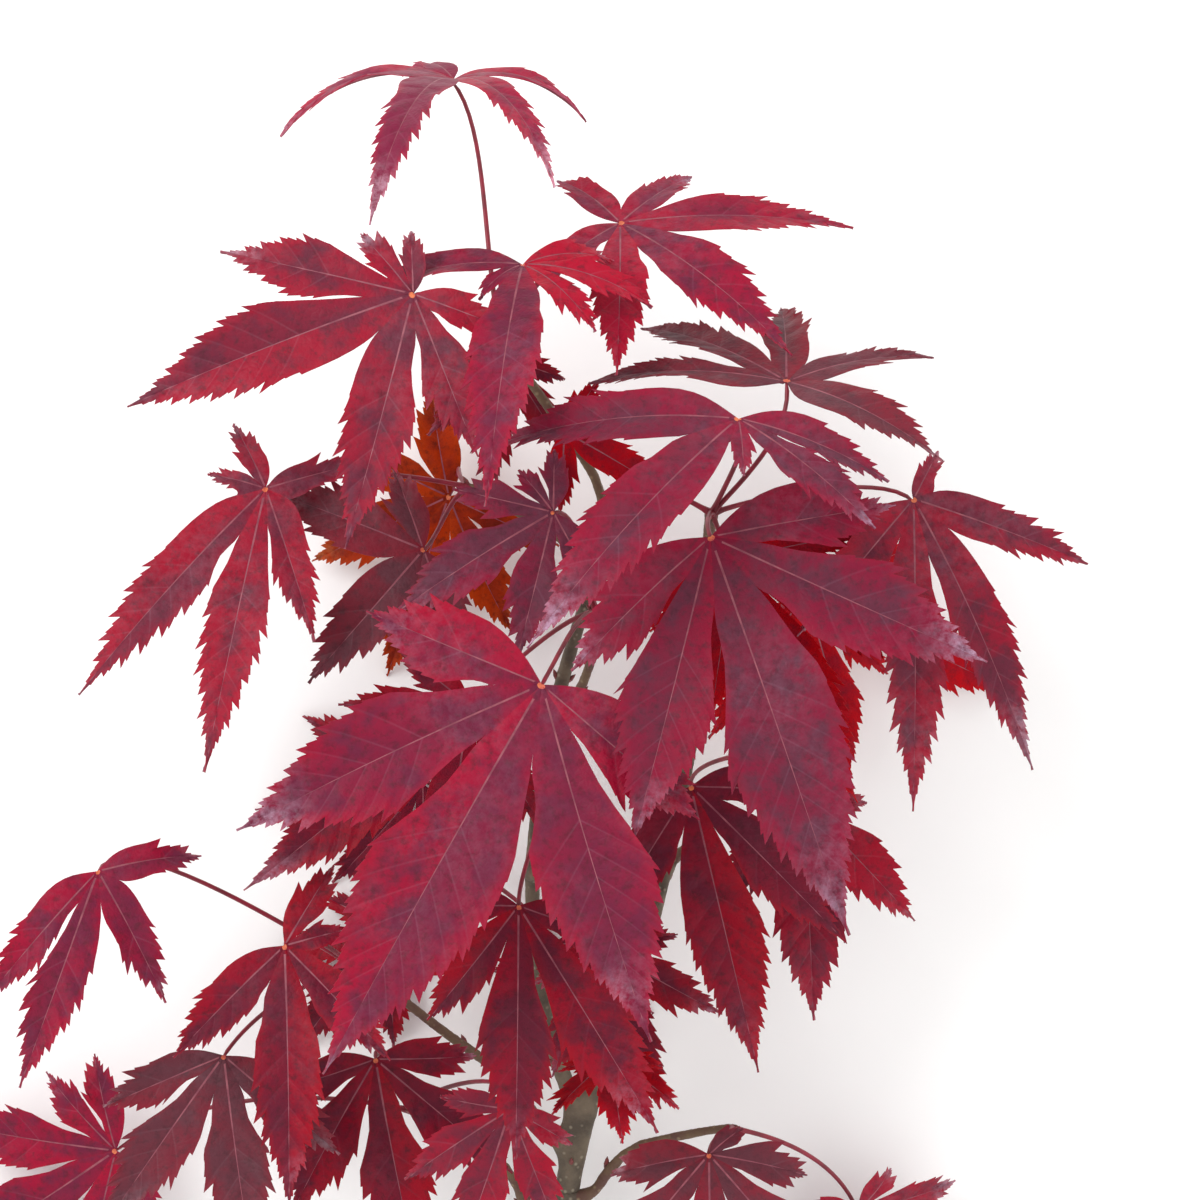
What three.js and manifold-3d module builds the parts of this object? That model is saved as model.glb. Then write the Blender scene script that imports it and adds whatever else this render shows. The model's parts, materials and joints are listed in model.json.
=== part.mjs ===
// A cut branch of a purple-leaved japanese maple, lying on its back on level ground.
//
// The main stem runs from a flat cut to a fork. Two boughs and nine side twigs grow on from it,
// and each side twig or bough carries one spray: a short stem, leaf stalks and lobed leaves, all
// fused to one solid. Sprays, twigs and boughs keep a small gap to each other.
//
// Millimetres. +Y runs along the branch from the cut to the tip, +Z is up and the ground is z = 0.

import * as THREE from 'three';
import Module from 'manifold-3d';

// ---------------------------------------------------------------- driving dimensions

const GAP = 0.3; // clear space between a limb and what it carries
const FORK_SPREAD = 0.2; // half the space between two limbs that leave the same tip
const FORK_LIFT = 0.6; // how far past a fork its limbs start, as a share of their radius
const SIDE_CLEARANCE = 0.1; // what the flat sides of a limb take from its radius
const STEPS_PER_POINT = 2; // cross-sections of a limb for each of its points
const BLADE_THICKNESS = 1.1; // leaf blade
const FOLD = 0.22; // how far a lobe's edges rise over its midrib, as a share of the half width
const EARLY_RISE = 0.25; // share of its droop by which a lobe first climbs from the hub
const WIDEST = 0.54; // where a lobe is widest, as a share of its length
const TAPER = 1.25; // how slender a lobe's drawn-out tip is
const LOBE_STATIONS = [0.38, 0.6, 0.82]; // cross-sections of a lobe
const SINUS_SHARE = 0.2; // depth of the web between two lobes
const HEEL_SHARE = 0.1; // depth of the blade behind the outer lobes
const HEEL_ANGLE = 38; // how far behind the outer lobes the heel lies, degrees
const NEIGHBOUR_ROOM = 0.93; // share of the way to the next lobe that an edge may take
const SMALL_LOBE_BREADTH = 0.25; // share of a lobe's breadth that doesn't shrink with its length
const LEAST_REACH = 0.3; // lobes shorter than this share get no broader for their length
const STALK_RADIUS = 0.65;
const STALK_SIDES = 4;
const STALK_STEPS = 6;
const STALK_ROOT = 0.5; // how deep a stalk's foot is sunk in the spray's node
const STALK_SEAT = { forward: 0.6, below: 0.2 }; // where a stalk ends, from its leaf's hub
const STALK_ARRIVAL = { back: 0.75, below: 0.65 }; // from where it comes to the hub
const STALK_PARTING = { hubward: 0.8, onward: 0.4 }; // how it leaves the node
const STALK_REACH = { leaving: 0.3, arriving: 0.35 }; // how much of the way each bend takes
const SPRAY_STEM_SIDES = 5;
const SPRAY_STEM_STEPS = 3;
const SPRAY_STEM_KNEE = 0.4; // share of its length that a spray's stem runs straight on
const TWIG_TAPER = 0.9; // far radius of a stalk or spray stem, as a share of the near one

const WINE = 0x6e1a2c; // leaves
const BARK = 0x5d5344; // stem, boughs and twigs

const UP = new THREE.Vector3(0, 0, 1);

// Limbs, in the order in which they grow. A limb leaves its parent at a share of the parent's
// length; 1 is the tip, where a fork's two limbs stand on either side. Points lead to its own tip.
const LIMBS = {
  stem: { points: [[0, -12, 3.2], [0, 20, 3.2], [6, 46, 12], [10, 70, 18]], radii: [2.9, 2.6], sides: 10 },
  bough_left: {
    parent: 'stem', at: 1, side: -1, radii: [1.7, 1.3], sides: 8,
    points: [[3, 90, 23], [0, 120, 31], [5, 156, 40], [13, 184, 47]],
  },
  bough_right: {
    parent: 'stem', at: 1, side: 1, radii: [1.7, 1.3], sides: 8,
    points: [[22, 100, 26], [31, 140, 34], [35, 165, 44], [35.5, 186, 56]],
  },
  twig_top: {
    parent: 'bough_left', at: 1, side: 1, radii: [1, 0.9],
    points: [[14, 200, 52], [6, 213, 56], [-3, 226, 58]],
  },
  twig_left: { parent: 'bough_left', at: 1, side: -1, radii: [1, 0.9], points: [[4, 192, 48], [-7, 198, 48]] },
  twig_centre: { parent: 'bough_left', at: 0.72, radii: [1, 0.9], points: [[10, 160, 50], [13, 168, 58]] },
  twig_right: { parent: 'bough_right', at: 0.45, radii: [1, 0.9], points: [[37, 136, 38], [43, 142, 40]] },
  twig_lower: { parent: 'bough_left', at: 0.45, radii: [1, 0.9], points: [[2, 122, 44], [1, 128, 50]] },
  twig_under: { parent: 'bough_left', at: 0.3, radii: [1, 0.9], points: [[-5, 110, 20], [-9, 118, 16]] },
  twig_low_left: {
    parent: 'stem', at: 0.9, radii: [1.2, 0.9],
    points: [[-6, 78, 22], [-18, 88, 28], [-28, 96, 30]],
  },
  twig_base_left: { parent: 'stem', at: 0.62, radii: [1, 0.9], points: [[-6, 58, 14], [-18, 66, 17]] },
  twig_base_right: { parent: 'stem', at: 0.75, radii: [1.1, 0.9], points: [[20, 62, 18], [32, 66, 22]] },
};

// Where each spray's stem starts, and the node in which it ends and its leaf stalks part.
const SPRAYS = {
  top: { limb: 'twig_top', node: [-6, 231, 59] },
  left: { limb: 'twig_left', node: [-13, 201, 48] },
  centre: { limb: 'twig_centre', node: [13, 176, 64] },
  crown: { limb: 'bough_right', node: [35.8, 195, 72] },
  right: { limb: 'twig_right', node: [48, 146, 41] },
  lower: { limb: 'twig_lower', node: [2, 133, 54] },
  under: { limb: 'twig_under', node: [-14, 122, 15] },
  low_left: { limb: 'twig_low_left', node: [-36, 102, 33] },
  base_left: { limb: 'twig_base_left', node: [-26, 71, 20] },
  base_right: { limb: 'twig_base_right', node: [42, 68, 26] },
};

// Lobes of a leaf from right to left: [turn from the middle lobe in degrees, share of its length].
const FIVE_LOBES = [[-80, 0.45], [-40, 0.8], [0, 1], [40, 0.8], [80, 0.45]];
const SEVEN_LOBES = [[-118, 0.3], [-80, 0.6], [-40, 0.88], [0, 1], [40, 0.88], [80, 0.6], [118, 0.3]];

// Leaves. hub: where the lobes meet; with two numbers the leaf is let down until it rests on the
// ground. size: middle lobe. heading: where that points before the blade is tilted by tilt
// degrees towards the bearing lean. droop: bend of a lobe over its length. breadth: half width
// of a lobe for its length. Bearings run anticlockwise from +X.
const LEAVES = {
  top: [
    { hub: [-15, 281, 62], size: 46, heading: 240, tilt: 68, lean: 90, droop: 75, breadth: 0.1,
      lobes: [[-125, 0.6], [-62, 0.85], [14, 1.2], [62, 0.95], [125, 0.65]] },
    { hub: [18, 253, 58], size: 48, heading: 315, tilt: 45, lean: 90, droop: 28, breadth: 0.13,
      lobes: [[-90, 0.5], [-45, 0.85], [0, 1], [50, 1], [95, 0.5], [170, 0.45]] },
    { hub: [-22, 237, 80], size: 60, heading: 215, tilt: 15, lean: 110, droop: 15, breadth: 0.13,
      lobes: [[-122, 0.25], [-86, 0.42], [-49, 0.67], [-15, 1], [43, 0.86], [77, 0.58], [123, 0.3]] },
    { hub: [-1, 243, 76], size: 46, heading: 265, tilt: 50, lean: 95, droop: 50, breadth: 0.14,
      lobes: [[-85, 0.7], [-38, 0.8], [0, 1], [45, 0.5], [75, 0.6], [112, 0.42]] },
    { hub: [-5, 227, 43], size: 28, heading: 262, tilt: 5, lean: 90, droop: 15, breadth: 0.14,
      lobes: FIVE_LOBES },
  ],
  crown: [
    { hub: [50, 220, 80], size: 46, heading: 100, tilt: 58, lean: 95, droop: 25, breadth: 0.11,
      lobes: [[-140, 0.85], [-73, 0.7], [-10, 0.85], [32, 1], [62, 0.9]] },
    { hub: [40, 212, 98], size: 62, heading: 230, tilt: 35, lean: 90, droop: 35, breadth: 0.13,
      lobes: [[-50, 0.8], [0, 1], [45, 0.2], [88, 0.55], [108, 0.5]] },
    { hub: [35, 190, 90], size: 80, heading: 289, tilt: 12, lean: 110, droop: 18, breadth: 0.15,
      lobes: [[-67, 0.46], [-32, 0.75], [0, 1], [45, 0.72], [81, 0.45]] },
    { hub: [76, 198, 62], size: 64, heading: 280, tilt: 25, lean: 60, droop: 18, breadth: 0.1,
      lobes: [[-50, 0.6], [-14, 1], [13, 0.92], [62, 0.6], [140, 0.2]] },
    { hub: [7, 211, 68], size: 24, heading: 328, tilt: 20, lean: 90, droop: 20, breadth: 0.15,
      lobes: [[-60, 0.7], [0, 1], [50, 0.7], [92, 0.55]] },
    { hub: [40, 186, 66], size: 54, heading: 298, tilt: 4, lean: 90, droop: 15, breadth: 0.13,
      lobes: [[-75, 0.4], [-35, 0.6], [0, 1], [36, 0.8], [75, 0.5]] },
  ],
  left: [
    { hub: [-52, 200, 64], size: 60, heading: 258, tilt: 25, lean: 80, droop: 15, breadth: 0.1,
      lobes: [[-145, 0.25], [-95, 0.3], [-28, 0.93], [2, 1], [30, 0.56], [120, 0.32]] },
    { hub: [-21, 188, 60], size: 35, heading: 230, tilt: 10, lean: 90, droop: 10, breadth: 0.17,
      lobes: [[-120, 0.5], [-72, 0.95], [0, 1], [60, 0.7]] },
    { hub: [-18, 200], size: 43, heading: 250, tilt: 12, lean: 230, droop: 25, breadth: 0.16,
      lobes: [[-150, 0.55], [-95, 0.5], [-45, 0.8], [0, 1], [42, 0.75], [85, 0.6]] },
  ],
  centre: [
    { hub: [5, 195, 78], size: 37, heading: 225, tilt: 15, lean: 90, droop: 15, breadth: 0.16,
      lobes: [[-135, 0.35], [-97, 0.3], [-58, 0.55], [-13, 1], [32, 0.8], [72, 0.5]] },
    { hub: [3, 162, 92], size: 84, heading: 240, tilt: 8, lean: 60, droop: 12, breadth: 0.155,
      lobes: [[-82, 0.43], [-36, 0.76], [0, 1], [45, 0.84], [79, 0.47]] },
    { hub: [-12, 157, 58], size: 58, heading: 221, tilt: 5, lean: 0, droop: 10, breadth: 0.12,
      lobes: [[-80, 0.3], [-40, 0.45], [0, 1], [40, 0.85], [80, 0.5]] },
  ],
  right: [
    { hub: [57, 180], size: 54, heading: 300, tilt: 12, lean: 320, droop: 25, breadth: 0.13,
      lobes: [[-60, 0.7], [-12, 0.8], [15, 0.5], [34, 1], [80, 0.5]] },
    { hub: [32, 141, 60], size: 58, heading: 283, tilt: 10, lean: 90, droop: 15, breadth: 0.13,
      lobes: [[-45, 0.6], [0, 1], [32, 0.75], [75, 0.5]] },
    { hub: [55, 137, 46], size: 44, heading: 290, tilt: 10, lean: 90, droop: 15, breadth: 0.16,
      lobes: [[-60, 0.6], [-17, 1], [24, 0.75], [70, 0.3]] },
  ],
  lower: [
    { hub: [-2, 118, 68], size: 52, heading: 275, tilt: 10, lean: 90, droop: 15, breadth: 0.15,
      lobes: [[-95, 0.25], [-42, 0.55], [-5, 0.95], [27, 1], [65, 0.5]] },
    { hub: [14, 107, 38], size: 36, heading: 290, tilt: 0, lean: 0, droop: 15, breadth: 0.14,
      lobes: FIVE_LOBES },
    { hub: [16, 86, 55], size: 24, heading: 275, tilt: 60, lean: 90, droop: 20, breadth: 0.16,
      lobes: FIVE_LOBES },
  ],
  under: [
    { hub: [-24, 139], size: 38, heading: 190, tilt: 6, lean: 10, droop: 45, breadth: 0.14,
      lobes: FIVE_LOBES },
    { hub: [4, 104], size: 34, heading: 285, tilt: 6, lean: 105, droop: 45, breadth: 0.14,
      lobes: FIVE_LOBES },
    { hub: [-32, 108], size: 34, heading: 235, tilt: 6, lean: 55, droop: 45, breadth: 0.14,
      lobes: FIVE_LOBES },
  ],
  low_left: [
    { hub: [-49, 109, 56], size: 52, heading: 265, tilt: 10, lean: 90, droop: 10, breadth: 0.13,
      lobes: [[-41, 0.6], [8, 1], [50, 0.6], [110, 0.25], [155, 0.36]] },
    { hub: [-62, 86, 48], size: 44, heading: 245, tilt: 10, lean: 90, droop: 10, breadth: 0.15,
      lobes: [[-42, 0.6], [-10, 0.95], [33, 1], [75, 0.7]] },
    { hub: [-86, 124, 58], size: 46, heading: 252, tilt: 25, lean: 60, droop: 35, breadth: 0.12,
      lobes: [[-22, 0.75], [0, 1], [46, 0.65], [122, 0.48]] },
  ],
  base_left: [
    { hub: [-88, 62], size: 50, heading: 215, tilt: 15, lean: 215, droop: 20, breadth: 0.15,
      lobes: [[-112, 0.42], ...FIVE_LOBES] },
    { hub: [-32, 84, 38], size: 46, heading: 280, tilt: 0, lean: 0, droop: 12, breadth: 0.16,
      lobes: FIVE_LOBES },
    { hub: [-4, 76, 54], size: 32, heading: 252, tilt: 5, lean: 90, droop: 20, breadth: 0.16,
      lobes: FIVE_LOBES },
  ],
  base_right: [
    { hub: [36, 66, 48], size: 46, heading: 270, tilt: 20, lean: 90, droop: 35, breadth: 0.17,
      lobes: [...FIVE_LOBES, [130, 0.2]] },
    { hub: [68, 50], size: 38, heading: 290, tilt: 25, lean: 300, droop: 30, breadth: 0.17,
      lobes: SEVEN_LOBES },
  ],
};

// ---------------------------------------------------------------- solids

const wasm = await Module();
wasm.setup();

const rad = THREE.MathUtils.degToRad;
const vector = (point) => new THREE.Vector3(...point);

/** A closed body for joining, from a geometry whose corners are shared. */
function bodyOf(geometry) {
  return new wasm.Manifold(new wasm.Mesh({
    numProp: 3,
    vertProperties: new Float32Array(geometry.attributes.position.array),
    triVerts: new Uint32Array(geometry.index.array),
  }));
}

/** The geometry of a joined body. */
function geometryOf(body) {
  const mesh = body.getMesh();
  const geometry = new THREE.BufferGeometry();
  geometry.setAttribute('position', new THREE.BufferAttribute(new Float32Array(mesh.vertProperties), 3));
  geometry.setIndex(new THREE.BufferAttribute(new Uint32Array(mesh.triVerts), 1));
  return geometry;
}

/** A geometry from corners and the triangles between them. */
function geometryFrom(corners, triangles) {
  const geometry = new THREE.BufferGeometry().setFromPoints(corners);
  geometry.setIndex(triangles.flat());
  return geometry;
}

/** A closed round limb along a curve, tapering evenly from one end to the other. */
function limbGeometry(curve, [rootRadius, tipRadius], sides, steps) {
  const { normals, binormals } = curve.computeFrenetFrames(steps, false);
  const corners = [];
  for (let step = 0; step <= steps; step++) {
    const centre = curve.getPointAt(step / steps);
    const radius = THREE.MathUtils.lerp(rootRadius, tipRadius, step / steps);
    for (let side = 0; side < sides; side++) {
      const angle = (2 * Math.PI * side) / sides;
      corners.push(centre.clone()
        .addScaledVector(normals[step], radius * Math.cos(angle))
        .addScaledVector(binormals[step], radius * Math.sin(angle)));
    }
  }
  const triangles = [];
  for (let step = 0; step < steps; step++) {
    for (let side = 0; side < sides; side++) {
      const a = step * sides + side;
      const b = step * sides + ((side + 1) % sides);
      triangles.push([a, b, b + sides], [a, b + sides, a + sides]);
    }
  }
  const last = steps * sides;
  for (let side = 1; side < sides - 1; side++) {
    triangles.push([0, side + 1, side], [last, last + side, last + side + 1]);
  }
  return geometryFrom(corners, triangles);
}

/** Half width of a lobe at a share of its length, as a share of the greatest. */
function lobeProfile(share) {
  const rise = (TAPER * WIDEST) / (1 - WIDEST);
  return (share / WIDEST) ** rise * ((1 - share) / (1 - WIDEST)) ** TAPER;
}

/** A point on a lobe's arc, in the leaf's own frame, with the blade's normal there. */
function lobePoint(length, turn, droop, share) {
  const bend = rad(droop);
  const start = -EARLY_RISE * bend;
  const angle = start + bend * share;
  const run = (length / bend) * (Math.sin(angle) - Math.sin(start));
  const rise = (length / bend) * (Math.cos(angle) - Math.cos(start));
  const out = new THREE.Vector3(Math.cos(turn), Math.sin(turn), 0);
  return {
    run,
    at: out.clone().multiplyScalar(run).addScaledVector(UP, rise),
    normal: out.clone().multiplyScalar(Math.sin(angle)).addScaledVector(UP, Math.cos(angle)),
    left: new THREE.Vector3(-out.y, out.x, 0),
  };
}

/** A leaf's blade, hub at the origin and middle lobe along +X: a thin closed body. */
function bladeGeometry({ size, droop, breadth, lobes }) {
  const middle = [];
  const normals = [];
  const add = (point, normal) => middle.push(point) && normals.push(normal) && middle.length - 1;
  const turns = lobes.map(([turn]) => rad(turn));
  const count = lobes.length;
  const hub = add(new THREE.Vector3(), UP.clone());

  const sinuses = [];
  const halfGaps = [];
  for (let i = 0; i <= count; i++) {
    const beside = lobes.slice(Math.max(i - 1, 0), i + 1).map(([, reach]) => reach * size);
    const length = beside.reduce((sum, value) => sum + value) / beside.length;
    const outer = i === 0 || i === count;
    const turn = outer
      ? turns[Math.min(i, count - 1)] + rad(i === 0 ? -HEEL_ANGLE : HEEL_ANGLE)
      : (turns[i - 1] + turns[i]) / 2;
    const point = lobePoint(length, turn, droop, outer ? HEEL_SHARE : SINUS_SHARE);
    sinuses.push(add(point.at, point.normal));
    halfGaps.push(outer ? Math.PI / 2 : (turns[i] - turns[i - 1]) / 2);
  }

  const faces = [];
  const rim = [];
  lobes.forEach(([, reach], i) => {
    const length = reach * size;
    const spread = breadth * (1 - SMALL_LOBE_BREADTH + SMALL_LOBE_BREADTH / Math.max(reach, LEAST_REACH));
    const rows = LOBE_STATIONS.map((share) => {
      const { at, normal, left, run } = lobePoint(length, turns[i], droop, share);
      const edge = (sign, halfGap) => {
        const room = halfGap < Math.PI / 2 ? run * Math.tan(halfGap) * NEIGHBOUR_ROOM : Infinity;
        const width = Math.min(spread * length * lobeProfile(share), room);
        const point = at.clone().addScaledVector(left, sign * width).addScaledVector(normal, FOLD * width);
        return add(point, normal);
      };
      return { right: edge(-1, halfGaps[i]), rib: add(at, normal), left: edge(1, halfGaps[i + 1]) };
    });
    const end = lobePoint(length, turns[i], droop, 1);
    const tip = add(end.at, end.normal);
    const first = rows[0];
    const last = rows[rows.length - 1];
    faces.push([hub, sinuses[i], first.rib], [first.rib, sinuses[i], first.right]);
    faces.push([hub, first.rib, sinuses[i + 1]], [first.rib, first.left, sinuses[i + 1]]);
    rows.slice(1).forEach((row, j) => {
      const back = rows[j];
      faces.push([back.right, row.right, row.rib], [back.right, row.rib, back.rib]);
      faces.push([back.rib, row.rib, row.left], [back.rib, row.left, back.left]);
    });
    faces.push([last.right, tip, last.rib], [last.rib, tip, last.left]);
    rim.push(sinuses[i], ...rows.map((row) => row.right), tip, ...rows.map((row) => row.left).reverse());
  });
  rim.push(sinuses[count], hub);

  const half = BLADE_THICKNESS / 2;
  const upper = middle.map((point, i) => point.clone().addScaledVector(normals[i], half));
  const under = middle.map((point, i) => point.clone().addScaledVector(normals[i], -half));
  const below = middle.length;
  const triangles = [...faces, ...faces.map(([a, b, c]) => [c + below, b + below, a + below])];
  rim.forEach((a, i) => {
    const b = rim[(i + 1) % rim.length];
    triangles.push([b, a, a + below], [b, a + below, b + below]);
  });
  return geometryFrom([...upper, ...under], triangles);
}

/** Turns a leaf from its own frame to its heading, tilted towards its lean. */
function leafTurn({ heading, tilt, lean }) {
  const hinge = new THREE.Vector3(-Math.sin(rad(lean)), Math.cos(rad(lean)), 0);
  const tilted = new THREE.Quaternion().setFromAxisAngle(hinge, rad(tilt));
  return tilted.multiply(new THREE.Quaternion().setFromAxisAngle(UP, rad(heading)));
}

/** A leaf's blade in place, and its stalk from the spray's node to the underside of its hub. */
function leafBodies(leaf, node, growth) {
  const turn = leafTurn(leaf);
  const blade = bladeGeometry(leaf).applyQuaternion(turn);
  blade.computeBoundingBox();
  const [x, y, z = -blade.boundingBox.min.z] = leaf.hub;
  blade.translate(x, y, z);

  const normal = UP.clone().applyQuaternion(turn);
  const forward = new THREE.Vector3(1, 0, 0).applyQuaternion(turn);
  const end = new THREE.Vector3(x, y, z)
    .addScaledVector(forward, STALK_SEAT.forward)
    .addScaledVector(normal, -STALK_SEAT.below);
  const reach = end.distanceTo(node);
  const arrival = forward.multiplyScalar(-STALK_ARRIVAL.back)
    .addScaledVector(normal, -STALK_ARRIVAL.below)
    .normalize();
  const bend = end.clone().addScaledVector(arrival, STALK_REACH.arriving * reach);
  const parting = bend.clone().sub(node).normalize()
    .multiplyScalar(STALK_PARTING.hubward)
    .addScaledVector(growth, STALK_PARTING.onward);
  const stalk = new THREE.CubicBezierCurve3(
    node.clone().addScaledVector(growth, -STALK_ROOT),
    node.clone().addScaledVector(parting, STALK_REACH.leaving * reach),
    bend,
    end,
  );
  const stalkRadii = [STALK_RADIUS, TWIG_TAPER * STALK_RADIUS];
  return [bodyOf(blade), bodyOf(limbGeometry(stalk, stalkRadii, STALK_SIDES, STALK_STEPS))];
}

// ---------------------------------------------------------------- limbs

/** Where a limb starts, GAP clear of its parent's side or tip. */
function limbStart(limb, parent) {
  const from = parent.curve.getPointAt(limb.at);
  const along = parent.curve.getTangentAt(limb.at);
  const [radius] = limb.radii;
  if (limb.at === 1) {
    const aside = new THREE.Vector3().crossVectors(along, UP).normalize().multiplyScalar(limb.side);
    return from
      .addScaledVector(along, GAP + FORK_LIFT * radius)
      .addScaledVector(aside, radius + FORK_SPREAD);
  }
  const heading = vector(limb.points[0]).sub(from).normalize();
  const outward = heading.clone().addScaledVector(along, -heading.dot(along)).normalize();
  const parentRadius = THREE.MathUtils.lerp(...parent.radii, limb.at);
  const slant = Math.sqrt(Math.max(0, 1 - heading.dot(outward) ** 2));
  return from.addScaledVector(outward, parentRadius + GAP + SIDE_CLEARANCE + radius * slant);
}

/** Every limb's curve, with its radii. */
function growLimbs() {
  const grown = {};
  for (const [name, limb] of Object.entries(LIMBS)) {
    const points = limb.points.map(vector);
    const curve = limb.parent
      ? new THREE.CatmullRomCurve3([limbStart(limb, grown[limb.parent]), ...points])
      : new THREE.CubicBezierCurve3(...points);
    grown[name] = { ...limb, curve };
  }
  return grown;
}

/** One spray, joined: its stem, its leaf stalks and its leaves. */
function sprayGeometry({ limb, node }, leaves, limbs) {
  const { curve, radii } = limbs[limb];
  const growth = curve.getTangentAt(1);
  const root = curve.getPointAt(1).addScaledVector(growth, GAP);
  const tip = vector(node);
  const knee = root.clone().addScaledVector(growth, SPRAY_STEM_KNEE * root.distanceTo(tip));
  const stem = new THREE.QuadraticBezierCurve3(root, knee, tip);
  const stemRadii = [radii[1], TWIG_TAPER * radii[1]];
  let spray = bodyOf(limbGeometry(stem, stemRadii, SPRAY_STEM_SIDES, SPRAY_STEM_STEPS));
  for (const leaf of leaves) {
    for (const body of leafBodies(leaf, tip, stem.getTangentAt(1))) {
      spray = spray.add(body);
    }
  }
  return geometryOf(spray);
}

// ---------------------------------------------------------------- the branch

const branch = new THREE.Group();

/** Adds one named piece to the branch. */
function addPiece(name, geometry, color, roughness) {
  const material = new THREE.MeshStandardMaterial({ color, roughness, metalness: 0 });
  const piece = new THREE.Mesh(geometry, material);
  piece.name = name;
  branch.add(piece);
}

const limbs = growLimbs();
for (const [name, { curve, radii, sides = 6, points }] of Object.entries(limbs)) {
  addPiece(name, limbGeometry(curve, radii, sides, STEPS_PER_POINT * (points.length + 1)), BARK, 0.8);
}
for (const [name, spray] of Object.entries(SPRAYS)) {
  addPiece(`spray_${name}`, sprayGeometry(spray, LEAVES[name], limbs), WINE, 0.5);
}

// The origin is under the middle of the branch, on the ground.
const box = new THREE.Box3().setFromObject(branch);
const centre = box.getCenter(new THREE.Vector3());
branch.position.set(-centre.x, -centre.y, -box.min.z);

export default branch;
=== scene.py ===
"""Looks of a cut branch of a purple-leaved maple that lies on its back on level ground.

The branch grows by one rule. A stem forks into two boughs, side twigs leave them, and each limb's
tip carries on as a shoot that ends in a node. From each node leaf stalks part, and each stalk
holds a lobed, toothed blade. Growth is written in millimetres from the stem's cut, with +Y towards
the tip and +Z up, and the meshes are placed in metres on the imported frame.
"""

import json
import logging
import math
from collections.abc import Sequence
from dataclasses import dataclass, field, replace
from enum import Enum

import bmesh
import bpy
import numpy as np
from mathutils import Matrix, Vector, kdtree, noise

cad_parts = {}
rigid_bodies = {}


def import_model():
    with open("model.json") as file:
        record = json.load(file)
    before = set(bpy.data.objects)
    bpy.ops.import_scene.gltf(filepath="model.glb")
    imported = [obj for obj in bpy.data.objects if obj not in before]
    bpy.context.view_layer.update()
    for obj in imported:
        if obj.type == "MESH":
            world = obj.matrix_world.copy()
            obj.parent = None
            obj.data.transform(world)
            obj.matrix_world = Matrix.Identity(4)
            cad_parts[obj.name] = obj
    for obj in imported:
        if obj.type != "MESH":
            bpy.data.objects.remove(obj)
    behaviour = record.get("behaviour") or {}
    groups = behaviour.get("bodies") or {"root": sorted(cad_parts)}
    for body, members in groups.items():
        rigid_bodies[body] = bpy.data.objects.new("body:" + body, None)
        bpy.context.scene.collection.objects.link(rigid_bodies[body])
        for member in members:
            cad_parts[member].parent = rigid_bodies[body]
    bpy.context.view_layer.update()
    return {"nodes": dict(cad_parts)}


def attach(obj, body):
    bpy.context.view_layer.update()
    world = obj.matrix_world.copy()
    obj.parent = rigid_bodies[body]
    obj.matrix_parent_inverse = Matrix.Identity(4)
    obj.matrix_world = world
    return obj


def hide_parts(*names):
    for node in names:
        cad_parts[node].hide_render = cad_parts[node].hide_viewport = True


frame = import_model()

LOG = logging.getLogger("maple_branch")
MM = 0.001  # growth is in millimetres, meshes are in metres
SAME_PLANE = 0.00001  # metres within which corners lie on the cut face
UP = np.array((0.0, 0.0, 1.0))
Point = tuple[float, float, float]

# ---------------------------------------------------------------- how the branch grows

GAP = 0.3  # clear space that a limb's start keeps to its parent
FORK_SPREAD = 0.2  # half the space between two limbs that leave the same tip
FORK_LIFT = 0.6  # how far past a fork its limbs start, as a share of their radius
SIDE_CLEARANCE = 0.1  # what the flat sides of a limb take from its radius
FOLD = 0.22  # how far a lobe's edges rise over its midrib, as a share of the half width
EARLY_RISE = 0.25  # share of its droop by which a lobe first climbs from the hub
WIDEST = 0.48  # where a lobe is widest, as a share of its length
TAPER = 1.65  # how slender a lobe's drawn-out tip is
SINUS_SHARE = 0.17  # depth of the web between two lobes
HEEL_SHARE = 0.1  # depth of the blade behind the outer lobes
HEEL_ANGLE = 38.0  # how far behind the outer lobes the heel lies, degrees
NEIGHBOUR_ROOM = 0.96  # share of the way to the next lobe that an edge may take
SMALL_LOBE_BREADTH = 0.25  # share of a lobe's breadth that doesn't shrink with its length
LEAST_REACH = 0.3  # lobes shorter than this share get no broader for their length
SPRAY_STEM_KNEE = 0.4  # share of its length that a spray's stem runs straight on
STALK_SEAT = (0.5, 0.25)  # where a stalk ends: forward of its leaf's hub, and below it
STALK_ARRIVAL = (0.75, 0.65)  # from where it comes to the hub: back, and below
STALK_PARTING = (0.8, 0.4)  # how it leaves the node: hubward, and onward
STALK_REACH = (0.3, 0.35)  # how much of the way each of its bends takes
LAYOUT_REACH = 2.8  # side of a leaf's cell in its piece's layout, in leaf sizes
NODE_SPACING = 21.0  # from one pair of buds along a limb to the next
CREASE = 50.0  # edges sharper than this stay crisp, degrees


@dataclass(frozen=True)
class Limb:
    """The stem, a bough or a side twig: points lead from its parent to its own tip."""

    points: tuple[Point, ...]
    radii: tuple[float, float]
    parent: str = ""
    at: float = 1.0
    side: int = 0

    def radius(self, share: float) -> float:
        """The radius at a share of the limb's length."""
        return self.radii[0] + (self.radii[1] - self.radii[0]) * share


class Tint(Enum):
    """The colours that the leaves are dealt."""

    CRIMSON = "crimson"
    WINE = "wine"
    PLUM = "plum"
    DUSK = "dusk"
    ROSE = "rose"
    # Painted glow: scarlet paints the bright red of light shining through leaves from behind, over
    # their own red.
    SCARLET_GLOW = "scarlet_glow"
    EMBER = "ember"
    CLARET = "claret"


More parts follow.
